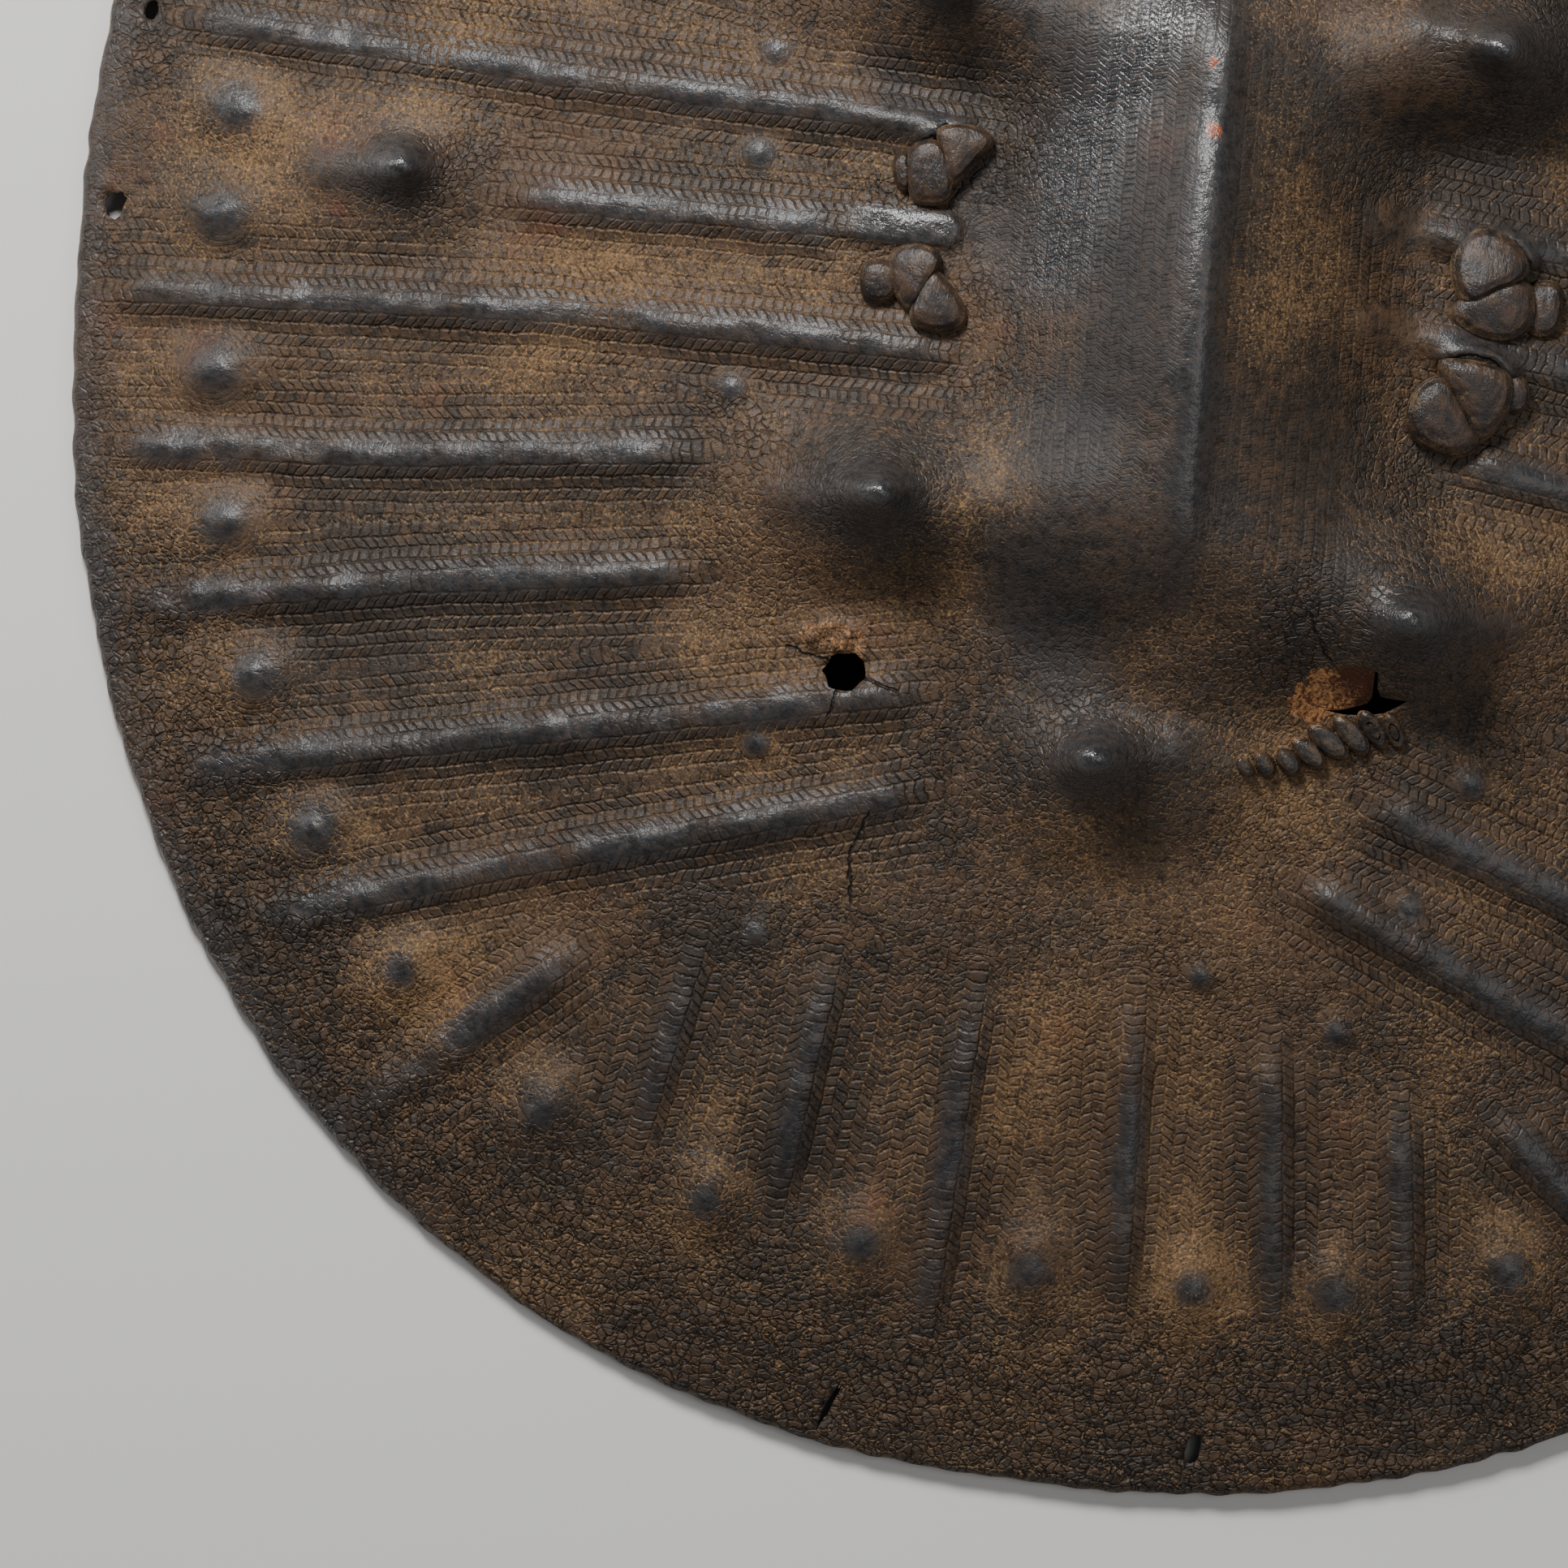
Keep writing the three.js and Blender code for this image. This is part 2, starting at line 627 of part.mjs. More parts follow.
// An upright prism through the hide from a flat outline, standing on a chosen level
function prism(outlinePoints, bottom, top) {
  const shape = new THREE.Shape(outlinePoints.map(([x, y]) => new THREE.Vector2(x, y)));
  const geometry = new THREE.ExtrudeGeometry(shape, { depth: top - bottom, bevelEnabled: false });
  return geometry.translate(0, 0, bottom);
}

// A point at u along and v across a direction from another point
function placed([x, y], turn, u, v) {
  return [x + u * Math.cos(turn) - v * Math.sin(turn), y + u * Math.sin(turn) + v * Math.cos(turn)];
}

// A lens or slot outline about a point
function slot({ at, long, wide, turn }, sides = 8) {
  const points = [];
  for (let i = 0; i < sides; i += 1) {
    const a = (2 * Math.PI * (i + 0.5)) / sides;
    const u = (long / 2) * Math.cos(a);
    const v = (wide / 2) * Math.sin(a);
    points.push(placed(at, turn, u, v));
  }
  return points;
}

const uncut = hideGeometry();
const bed = toSolid(uncut.clone().translate(0, 0, KNOT_GAP));
const TALL = 200;

function cuts() {
  const tools = [];
  const { at, radii } = BROKEN_HOLE;
  const ragged = radii.map((radius, i) => {
    const a = (2 * Math.PI * i) / radii.length;
    return [at[0] + radius * Math.cos(a), at[1] + radius * Math.sin(a)];
  });
  tools.push(prism(ragged, -1, TALL));
  tools.push(prism(slot(TEAR_GAP), -1, TALL));
  tools.push(prism(slot(TEAR_PATCH), form(...TEAR_PATCH.at) - TEAR_PATCH.deep, TALL));
  for (const hole of RIM_HOLES) {
    tools.push(prism(slot(hole, 6), -1, TALL));
  }
  for (const { from, to } of thongEnds()) {
    for (const [x, y] of [from, to]) {
      const half = [THONG_THICK / 2 + SLIT_GAP, THONG_WIDTH / 2 + SLIT_GAP];
      const corners = [[-1, -1], [1, -1], [1, 1], [-1, 1]].map(([u, v]) => [u * half[0], v * half[1]]);
      const turn = Math.atan2(to[1] - from[1], to[0] - from[0]);
      tools.push(prism(corners.map(([u, v]) => placed([x, y], turn, u, v)), -1, TALL));
    }
  }
  return tools;
}

function thongEnds() {
  return [
    { name: 'upper_grip_thong', from: SLITS.upperLeft, to: SLITS.upperRight },
    { name: 'lower_grip_thong', from: SLITS.lowerLeft, to: SLITS.lowerRight },
  ];
}

// The lobes of the knot over each slit: where, half sizes along, across and up, and turn
const KNOTS = {
  upperLeft: [
    { shift: [-3.7, -6], half: [6, 7.6, 4.2], turn: -0.35 },
    { shift: [5.6, -0.4], half: [7.2, 7.6, 4.6], turn: -0.5 },
    { shift: [-9.8, -7.6], half: [4, 5, 2.6], turn: 0 },
  ],
  lowerLeft: [
    { shift: [-2.6, 2.3], half: [6.4, 8.4, 4.6], turn: -0.3 },
    { shift: [4.6, -5.4], half: [6.6, 8.2, 4.2], turn: 0.6 },
    { shift: [-12, -1.7], half: [5, 6, 2.8], turn: 0.3 },
  ],
  upperRight: [
    { shift: [-3.6, 2.6], half: [9, 9.4, 5.6], turn: -0.2 },
    { shift: [-1, -9.6], half: [10.4, 7.2, 5], turn: 0.1 },
    { shift: [12, -8], half: [4.8, 7, 2.8], turn: 0 },
  ],
  lowerRight: [
    { shift: [-5, -5], half: [8.6, 10, 5.4], turn: 0.4 },
    { shift: [2.6, 1.8], half: [9.4, 9, 5.2], turn: -0.4 },
    { shift: [12, 2.6], half: [4.6, 6, 2.6], turn: 0 },
  ],
};

// A rounded lobe of folded hide that lies on the front, cut to bear on it all over
function lobe([x, y], [along, across, up], turn, sides = 7) {
  const [slopeX, slopeY] = slopes(form, x, y);
  const normal = new THREE.Vector3(-slopeX, -slopeY, 1).normalize();
  const geometry = new THREE.SphereGeometry(1, sides, sides - 2).scale(along, across, up);
  geometry.rotateZ(turn);
  const tilt = new THREE.Quaternion().setFromUnitVectors(new THREE.Vector3(0, 0, 1), normal);
  geometry.applyQuaternion(tilt);
  const lift = new THREE.Vector3(x, y, form(x, y)).addScaledVector(normal, up * KNOT_LIFT);
  return toSolid(geometry.translate(lift.x, lift.y, lift.z)).subtract(bed);
}

// A grip thong: flat strap across the hollow, up through a slit at each end and knotted in front
function thongSolid({ from, to }, knots) {
  const span = Math.hypot(to[0] - from[0], to[1] - from[1]);
  const turn = Math.atan2(to[1] - from[1], to[0] - from[0]);
  const tops = [from, to].map(([x, y]) => form(x, y));
  const low = [from, to].map(([x, y]) => hollow(x, y) - THONG_CLEAR);
  const grip = Math.min(...low) - GRIP_DROP;
  const corner = THONG_BEND * 0.35;
  const level = THONG_BEND + 4;
  const route = [
    [0, tops[0] + KNOT_SINK],
    [0, low[0] + THONG_BEND],
    [corner, low[0] + corner],
    [level, low[0] - 1.5],
    [span * 0.3, grip + GRIP_DROP / 5],
    [span * 0.5, grip],
    [span * 0.7, grip + GRIP_DROP / 5],
    [span - level, low[1] - 1.5],
    [span - corner, low[1] + corner],
    [span, low[1] + THONG_BEND],
    [span, tops[1] + KNOT_SINK],
  ].map(([u, z]) => new THREE.Vector3(u, 0, z));
  const path = new THREE.CatmullRomCurve3(route, false, 'centripetal');
  const section = new THREE.Shape([
    new THREE.Vector2(-THONG_WIDTH / 2, 0),
    new THREE.Vector2(-THONG_WIDTH / 2 + 1, -THONG_THICK / 2),
    new THREE.Vector2(THONG_WIDTH / 2 - 1, -THONG_THICK / 2),
    new THREE.Vector2(THONG_WIDTH / 2, 0),
    new THREE.Vector2(THONG_WIDTH / 2 - 1, THONG_THICK / 2),
    new THREE.Vector2(-THONG_WIDTH / 2 + 1, THONG_THICK / 2),
  ]);
  const strap = new THREE.ExtrudeGeometry(section, { steps: 18, bevelEnabled: false, extrudePath: path });
  strap.rotateZ(turn).translate(from[0], from[1], 0);
  let solid = toSolid(strap);
  [from, to].forEach(([x, y], end) => {
    for (const { shift, half, turn: lobeTurn } of knots[end]) {
      solid = solid.add(lobe([x + shift[0], y + shift[1]], half, lobeTurn));
    }
  });
  return solid;
}

// The lace whipped round the closed part of the tear, as a coil through the hide
function laceSolid(half) {
  const turns = [];
  const perTurn = 6;
  for (let i = 0; i <= LASHES * perTurn; i += 1) {
    const t = i / (LASHES * perTurn);
    const at = SEAM.getPointAt(t);
    const along = SEAM.getTangentAt(t);
    const a = (2 * Math.PI * i) / perTurn;
    const side = LACE_SIDE * Math.sin(a);
    const x = at.x - along.y * side;
    const y = at.y + along.x * side;
    const middle = (form(x, y) + hollow(x, y)) / 2;
    const deep = (form(x, y) - hollow(x, y)) / 2 + LACE_HALF + LACE_GAP + 0.5;
    turns.push(new THREE.Vector3(x, y, middle + deep * Math.cos(a)));
  }
  const path = new THREE.CatmullRomCurve3(turns);
  const section = new THREE.Shape([[1, 0], [0, 1], [-1, 0], [0, -1]]
    .map(([u, v]) => new THREE.Vector2(u * half, v * half)));
  const coil = { steps: LASHES * perTurn, bevelEnabled: false, extrudePath: path };
  return toSolid(new THREE.ExtrudeGeometry(section, coil));
}

function lacingSolid() {
  let solid = laceSolid(LACE_HALF);
  for (let i = 0; i < LASHES; i += 1) {
    const at = SEAM.getPointAt((i + 0.5) / LASHES);
    const along = SEAM.getTangentAt((i + 0.5) / LASHES);
    solid = solid.add(lobe([at.x, at.y], LASH, Math.atan2(along.y, along.x) + LASH_SLANT, 5));
  }
  return solid;
}

const hideMaterial = new THREE.MeshStandardMaterial({ color: 0x5c4a38, roughness: 0.55, metalness: 0 });
const thongMaterial = new THREE.MeshStandardMaterial({ color: 0x3d2a20, roughness: 0.32, metalness: 0 });
const laceMaterial = new THREE.MeshStandardMaterial({ color: 0x2e2b29, roughness: 0.3, metalness: 0 });

function named(name, solid, material) {
  const mesh = new THREE.Mesh(toGeometry(solid), material);
  mesh.name = name;
  return mesh;
}

const shield = new THREE.Group();
let hide = toSolid(uncut);
for (const tool of cuts()) {
  hide = hide.subtract(toSolid(tool));
}
hide = hide.subtract(laceSolid(LACE_HALF + LACE_GAP));
shield.add(named('hide_shell', hide, hideMaterial));
for (const thong of thongEnds()) {
  const ends = thong.name.startsWith('upper') ? ['upperLeft', 'upperRight'] : ['lowerLeft', 'lowerRight'];
  shield.add(named(thong.name, thongSolid(thong, ends.map((end) => KNOTS[end])), thongMaterial));
}
shield.add(named('repair_lacing', lacingSolid(), laceMaterial));

export default shield;
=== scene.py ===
import math

import bmesh
import bpy
import numpy as np
from mathutils import Matrix, Vector


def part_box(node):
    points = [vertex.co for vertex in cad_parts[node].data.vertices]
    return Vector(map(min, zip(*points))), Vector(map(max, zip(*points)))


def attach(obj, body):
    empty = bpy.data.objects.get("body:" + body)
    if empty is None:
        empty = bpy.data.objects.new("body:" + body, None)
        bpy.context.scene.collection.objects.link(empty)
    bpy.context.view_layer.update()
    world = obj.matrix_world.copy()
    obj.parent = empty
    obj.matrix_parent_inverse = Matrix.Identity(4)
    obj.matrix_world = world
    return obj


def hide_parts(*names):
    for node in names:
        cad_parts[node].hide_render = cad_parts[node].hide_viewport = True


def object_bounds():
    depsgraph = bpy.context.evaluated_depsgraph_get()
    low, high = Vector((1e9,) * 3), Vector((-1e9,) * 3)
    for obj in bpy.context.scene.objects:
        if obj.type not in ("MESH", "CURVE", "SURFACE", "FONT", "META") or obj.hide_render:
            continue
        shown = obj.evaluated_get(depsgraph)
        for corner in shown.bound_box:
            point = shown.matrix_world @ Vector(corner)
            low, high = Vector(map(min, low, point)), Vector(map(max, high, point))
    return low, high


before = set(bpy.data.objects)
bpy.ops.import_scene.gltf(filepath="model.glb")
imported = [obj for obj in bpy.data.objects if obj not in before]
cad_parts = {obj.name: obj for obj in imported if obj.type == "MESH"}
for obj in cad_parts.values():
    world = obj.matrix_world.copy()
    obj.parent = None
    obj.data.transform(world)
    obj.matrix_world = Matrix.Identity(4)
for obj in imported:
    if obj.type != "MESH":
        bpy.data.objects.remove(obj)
cad_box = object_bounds()


# The camera hangs high over the lying shield and looks straight down on its face, with the
# photograph's crop of the lower left part and its small turn.
VIEW_TURN = 0.13
VIEW_CENTRE = (-0.0851, -0.1416)
VIEW_WIDTH = 0.4057
VIEW_PLANE = 0.05
VIEW_DISTANCE = 6.0


def put(name, data):
    made = bpy.data.objects.new(name, data)
    bpy.context.scene.collection.objects.link(made)
    return made


camera_data = bpy.data.cameras.new("camera")
camera_data.sensor_width = 36
camera_data.lens = camera_data.sensor_width * VIEW_DISTANCE / VIEW_WIDTH
camera_data.clip_end = 100
camera = put("camera", camera_data)
camera.location = (*VIEW_CENTRE, VIEW_PLANE + VIEW_DISTANCE)
camera.rotation_euler = (0, 0, VIEW_TURN)
bpy.context.scene.camera = camera


# The hide: one thick rawhide, wetted, moulded over a form to a dish with a boss, pinched up into
# cones and ridges, and tooled all over. Its rim is cut and burnished. It is cut through by the
# thongs' slits, four holes at the rim, a broken hole and a tear.
HIDE_LOW, HIDE_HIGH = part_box("hide_shell")
HALF_X = (HIDE_HIGH.x - HIDE_LOW.x) / 2
HALF_Y = (HIDE_HIGH.y - HIDE_LOW.y) / 2
ROUNDNESS = 2.2
THICK = 0.005
SLANT_LIMIT = 1.8
RIM_TOP = 0.0054
DISH_RISE = 0.068
DISH_ROUND = 0.75

BOSS_RISE = 0.034
BOSS_LENGTH = 0.224
BOSS_HALF = 0.058
SHOULDER_SPREAD = 0.030
SHOULDER_Y = 0.066
SHOULDER_LENGTH = 0.022
SHOULDER_RISE = 0.011
SHOULDER_REACH = 0.031
SPINE_RISE = 0.0072
SPINE_HALF = 0.0024
SPINE_FLANK = 0.0046
SPINE_ENDS = (-0.091, 0.095)
SPINE_POINT = 0.046
SPINE_X = 0.0045
SPINE_LEAN = -0.045
SPINE_INSIDE = 0.7
CONE_INSIDE = 0.8
CONE_RISE = 0.022
WING_FALL = 0.5

RIDGE_RISE = 0.0039
RIDGE_HALF = 0.0060
RIDGE_TAPER = 0.016
FAN_HALF = 0.0050
FAN_TAPER = 0.024
DOME_RISE = 0.0054
DOME_LONG = 0.0115
DOME_WIDE = 0.008
DOME_RING = 0.868
DOME_RING_DRAW = 0.048
DOME_PAIR_TURN = 0.056
STUD_RISE = 0.0026
STUD_RADIUS = 0.005

MIRROR_X = 0.004
MIRROR_Y = 0.002
RIGHT_TURN = math.radians(-5)
RIGHT_DROP = -0.004

# Ridges that run across: outer end, inner end, bow, and how much shorter the right twin is
CROSS_RIDGES = [
    ((-0.181, 0), (-0.082, 0.0035), 0, -0.032),
    ((-0.279, -0.037), (-0.052, -0.0255), 0.003, 0.015),
    ((-0.275, -0.077), (-0.114, -0.0588), -0.002, 0),
    ((-0.266, -0.118), (-0.110, -0.0896), 0.0015, 0),
    ((-0.246, -0.159), (-0.050, -0.113), 0, 0.015),
    ((-0.223, -0.196), (-0.046, -0.138), 0.001, 0.006),
]
UPPER_RIDGE = ((-0.269, 0.036), (-0.050, 0.032), -0.001, -0.005)
FAN_RIDGES = [
    ((-0.188, -0.244), (-0.129, -0.188), 0, 0),
    ((-0.112, -0.244), (-0.102, -0.183), 0, 0),
    ((-0.074, -0.256), (-0.067, -0.181), 0, 0),
    ((-0.031, -0.286), (-0.029, -0.182), 0, 0),
    ((0.0185, -0.272), (0.012, -0.180), 0, 0),
    ((0.060, -0.273), (0.048, -0.187), 0, 0),
    ((0.094, -0.267), (0.083, -0.197), 0, 0),
    ((0.163, -0.246), (0.106, -0.201), 0, 0),
]


def right_twin(point):
    across = MIRROR_X - point[0]
    cos, sin = math.cos(RIGHT_TURN), math.sin(RIGHT_TURN)
    return (MIRROR_X + across * cos - point[1] * sin, across * sin + point[1] * cos + RIGHT_DROP)


def upper_twin(point):
    return (point[0], 2 * MIRROR_Y - point[1])


def every_ridge():
    def above(ridge):
        return (upper_twin(ridge[0]), upper_twin(ridge[1]), -ridge[2], ridge[3])

    left = [*CROSS_RIDGES, UPPER_RIDGE, *map(above, CROSS_RIDGES[2:])]
    right = []
    for outer, inner, bow, shorter in left:
        start, end = Vector(right_twin(outer)), Vector(right_twin(inner))
        end = end + (start - end).normalized() * shorter
        right.append((tuple(start), tuple(end), -bow, 0))
    return [*left, *right, *FAN_RIDGES, *map(above, FAN_RIDGES)]


RIDGES = every_ridge()

# Cones: peak, end of the wing, base radius, share of the rise, and whether a shoulder carries it
END_CONE = ((-0.2047, 0.0042), (-0.224, 0.0015), 0.025, 0.75, False)
CONES = [
    END_CONE,
    (right_twin(END_CONE[0]), right_twin(END_CONE[1]), *END_CONE[2:]),
    ((-0.071, -0.064), (-0.095, -0.0675), 0.027, 1, True),
    ((0.070, -0.0795), (0.095, -0.0765), 0.027, 0.9, True),
    ((0.074, 0.070), (0.056, 0.074), 0.027, 1.1, True),
    ((-0.072, 0.070), (-0.092, 0.072), 0.027, 1, True),
    ((-0.007, -0.125), (0.012, -0.120), 0.029, 1.05, False),
    ((0.003, 0.129), (0.014, 0.125), 0.029, 1, False),
]
STUDS = [
    (-0.1126, 0.019), (-0.112, -0.042), (-0.094, -0.132), (-0.0875, -0.181),
    (0.028, -0.177), (0.065, -0.187), (0.091, -0.119), (0.0795, -0.153),
]


def ease(t):
    t = np.clip(t, 0, 1)
    return t * t * (3 - 2 * t)


def bell(q):
    return np.maximum(0, 1 - q * q) ** 2


def reach(x, y):
    return (np.abs(x / HALF_X) ** ROUNDNESS + np.abs(y / HALF_Y) ** ROUNDNESS) ** (1 / ROUNDNESS)


def outline(angle, inset=0.0):
    cos, sin = np.cos(angle), np.sin(angle)
    radius = (np.abs(cos / (HALF_X - inset)) ** ROUNDNESS
              + np.abs(sin / (HALF_Y - inset)) ** ROUNDNESS) ** (-1 / ROUNDNESS)
    return radius * cos, radius * sin


def from_segment(x, y, a, b):
    dx, dy = b[0] - a[0], b[1] - a[1]
    along = np.clip(((x - a[0]) * dx + (y - a[1]) * dy) / (dx * dx + dy * dy), 0, 1)
    return np.hypot(x - a[0] - along * dx, y - a[1] - along * dy), along


def from_route(x, y, route):
    return np.min([from_segment(x, y, a, b)[0] for a, b in zip(route, route[1:])], 0)


def ridge_point(ridge, t):
    (ax, ay), (bx, by), bow, _ = ridge
    dx, dy = bx - ax, by - ay
    length = math.hypot(dx, dy)
    lift = 4 * bow * t * (1 - t)
    return ax + dx * t - dy / length * lift, ay + dy * t + dx / length * lift


def every_dome():
    angles = []
    for ridge in RIDGES:
        if reach(*ridge[0]) > 0.8:
            points = [ridge_point(ridge, (i - 30) / 100) for i in range(80)]
            x, y = min(points, key=lambda p: abs(reach(*p) - DOME_RING))
            angles.append(math.atan2(y, x) % (2 * math.pi))
    angles.sort()
    domes = []
    for index, angle in enumerate(angles):
        following = angles[index + 1] if index + 1 < len(angles) else angles[0] + 2 * math.pi
        middle = (angle + following) / 2
        pair = following - angle > 4 * DOME_PAIR_TURN and abs(math.sin(middle)) < 0.3
        for turn in (-DOME_PAIR_TURN, DOME_PAIR_TURN) if pair else (0,):
            ring = DOME_RING - DOME_RING_DRAW * math.exp(-12 * (1 - abs(math.sin(middle))))
            x, y = outline(middle + turn)
            domes.append((x * ring, y * ring))
    return domes


DOMES = every_dome()


def every_stud():
    twins = [upper_twin(p) for p in STUDS if abs(p[1]) > 0.1 or p[0] < -0.1]
    return [*STUDS, *[p for p in twins if p[1] > 0.03], (0.118, 0.008), (0.121, -0.056), (0.118, 0.040)]


ALL_STUDS = every_stud()


def spine_x(y):
    return SPINE_X + SPINE_LEAN * y


def dish(x, y):
    out = np.minimum(reach(x, y), 1)
    return DISH_RISE * (DISH_ROUND * (1 - out * out) + (1 - DISH_ROUND) * (1 + np.cos(np.pi * out)) / 2)


# The boss falls off toward its two ends, and eases into the dish
def boss_length(y):
    share = np.maximum(0, 1 - (2 * y / BOSS_LENGTH) ** 2)
    return share * (0.8 + 0.2 * ease(share / 0.35))


def boss(x, y):
    spread = BOSS_HALF + SHOULDER_SPREAD * np.exp(-(((np.abs(y) - SHOULDER_Y) / SHOULDER_LENGTH) ** 2))
    rise = BOSS_RISE * bell((x - spine_x(y)) / spread) * boss_length(y)
    for peak, _, _, _, shoulder in CONES:
        if shoulder:
            away, along = from_segment(x, y, (spine_x(peak[1]), peak[1]), peak)
            rise = rise + SHOULDER_RISE * (0.35 + 0.65 * along) * bell(away / SHOULDER_REACH)
    return rise


def spine(x, y):
    full = ease(np.minimum(y - SPINE_ENDS[0], SPINE_ENDS[1] - y) / SPINE_POINT)
    side = x - spine_x(y)
    away = np.maximum(0, np.abs(side) - SPINE_HALF / 2)
    return SPINE_RISE * full / (1 + (away / np.where(side < 0, 2.0 * SPINE_FLANK, SPINE_FLANK)) ** 2)


# A cone is a broad mound, drawn out to its wing, with a knob pinched up at the peak
def pinched(x, y, peak, wing, base):
    turn = math.atan2(wing[1] - peak[1], wing[0] - peak[0])
    dx, dy = x - peak[0], y - peak[1]
    ahead, aside = dx * math.cos(turn) + dy * math.sin(turn), dy * math.cos(turn) - dx * math.sin(turn)
    out = (ahead / (0.36 * base)) ** 2 + (aside / (0.27 * base)) ** 2
    return np.exp(-(out ** 1.25))


def cones(x, y):
    rise = np.zeros_like(x)
    for peak, wing, base, share, _ in CONES:
        away, along = from_segment(x, y, peak, wing)
        mound = 0.48 * bell(np.minimum(away / (1.2 * base), 1)) * (1 - 0.7 * WING_FALL * along)
        wings = 0.26 * np.exp(-((away / (0.24 * base)) ** 2)) * (1 - WING_FALL * along)
        knob = 0.44 * pinched(x, y, peak, wing, base)
        rise = np.maximum(rise, CONE_RISE * share * (mound + wings + knob))
    return rise


def form(x, y):
    return RIM_TOP + dish(x, y) + boss(x, y) + spine(x, y) + cones(x, y)


def hollow(x, y):
    def soft(px, py):
        inside = SPINE_INSIDE * spine(px, py) + CONE_INSIDE * cones(px, py)
        return RIM_TOP + dish(px, py) + boss(px, py) + inside

    step = 0.002
    slope_x = (soft(x + step, y) - soft(x - step, y)) / (2 * step)
    slope_y = (soft(x, y + step) - soft(x, y - step)) / (2 * step)
    slanted = np.sqrt(1 + slope_x ** 2 + slope_y ** 2)
    return np.maximum(0, soft(x, y) - THICK * np.minimum(slanted, SLANT_LIMIT))


def near(x, y, centre, radius):
    return np.nonzero((np.abs(x - centre[0]) < radius) & (np.abs(y - centre[1]) < radius))[0]


# For each point: the distance to the nearest ridge, the place along it, how full it stands there
# and its half width there
def ridge_field(x, y):
    nearest = np.full(x.shape, 1.0)
    place = np.zeros_like(x)
    full = np.zeros_like(x)
    half = np.full_like(x, RIDGE_HALF)
    for ridge in RIDGES:
        length = math.dist(ridge[0], ridge[1])
        middle = ridge_point(ridge, 0.5)
        fan = abs(ridge[1][1] - ridge[0][1]) > abs(ridge[1][0] - ridge[0][0])
        for a, b, start in ((ridge[0], middle, 0.0), (middle, ridge[1], length / 2)):
            away, along = from_segment(x, y, a, b)
            at = start + along * length / 2
            closer = away < nearest
            nearest = np.where(closer, away, nearest)
            place = np.where(closer, at, place)
            to_end = np.clip(np.minimum(at, length - at) / (FAN_TAPER if fan else RIDGE_TAPER), 0, 1)
            full = np.where(closer, to_end, full)
            half = np.where(closer, (FAN_HALF if fan else RIDGE_HALF) * (0.6 + 0.4 * ease(to_end)), half)
    return nearest, place, full, half


# A gentle hand-made unevenness: a sum of waves in random directions
def waves(x, y, length, seed, count=14):
    draw = np.random.default_rng(seed)
    total = np.zeros_like(x)
    for _ in range(count):
        turn, phase = draw.uniform(0, 2 * math.pi, 2)
        size = 2 * math.pi / (length * draw.uniform(0.7, 1.5))
        total += np.sin((x * math.cos(turn) + y * math.sin(turn)) * size + phase)
    return total / math.sqrt(count / 2)


def relief(x, y):
    away, at, full, half = ridge_field(x, y)
    uneven = 1 + 0.12 * waves(x, y, 0.05, 21) + 0.05 * waves(x, y, 0.011, 22)
    rise = RIDGE_RISE * uneven * np.exp(-((away / half) ** 2.2)) * ease(full)
    for dome in DOMES:
        some = near(x, y, dome, 2.6 * DOME_LONG)
        turn = math.atan2(dome[1], dome[0])
        dx, dy = x[some] - dome[0], y[some] - dome[1]
        u = (dx * math.cos(turn) + dy * math.sin(turn)) / DOME_LONG
        v = (dy * math.cos(turn) - dx * math.sin(turn)) / DOME_WIDE
        out = np.hypot(u, v)
        bump = DOME_RISE * (0.88 * np.exp(-((out / 1.05) ** 2)) + 0.12 * np.exp(-((out / 0.45) ** 2)))
        rise[some] = np.maximum(rise[some], bump)
    for stud in ALL_STUDS:
        some = near(x, y, stud, 2.2 * STUD_RADIUS)
        out = np.hypot(x[some] - stud[0], y[some] - stud[1]) / STUD_RADIUS
        rise[some] = np.maximum(rise[some], STUD_RISE * np.exp(-((out / 0.75) ** 2)))
    return rise


# How far inside an outline each point lies, below nothing outside it
def inside_outline(x, y, corners):
    distance = np.full(x.shape, 1.0)
    crossings = np.zeros(x.shape, int)
    for (ax, ay), (bx, by) in zip(corners, corners[1:] + corners[:1]):
        away, _ = from_segment(x, y, (ax, ay), (bx, by))
        distance = np.minimum(distance, away)
        crosses = (ay > y) != (by > y)
        crossings += crosses & (x < (bx - ax) * (y - ay) / (by - ay + 1e-12) + ax)
    return np.where(crossings % 2, distance, -distance)


# The torn patch beside the tear, the lips that the thongs' pull has raised round the slits, the
# flattened end of the middle ridge between two of the knots, and the flap over the broken hole
TORN_EDGE = [
    (0.0402, -0.1028), (0.0437, -0.0983), (0.0473, -0.0958), (0.0522, -0.0933), (0.0582, -0.0915),
    (0.0619, -0.0925), (0.0631, -0.0958), (0.0631, -0.1015), (0.0558, -0.1039), (0.0508, -0.1050),
    (0.0491, -0.1091), (0.0450, -0.1085), (0.0421, -0.1060),
]
TORN_DEPTH = 0.0026
LIPS = [
    # four points along each lip, then its height
    ((-0.0722, 0.0281), (-0.0686, 0.0305), (-0.0650, 0.0324), (-0.0600, 0.0332), 0.0012),
    ((0.0766, 0.0234), (0.0814, 0.0236), (0.0862, 0.0214), (0.0893, 0.0168), 0.0018),
    ((0.0683, -0.0106), (0.0757, -0.0073), (0.0829, -0.0083), (0.0877, -0.0127), 0.0020),
]
LIP_HALF = 0.0013
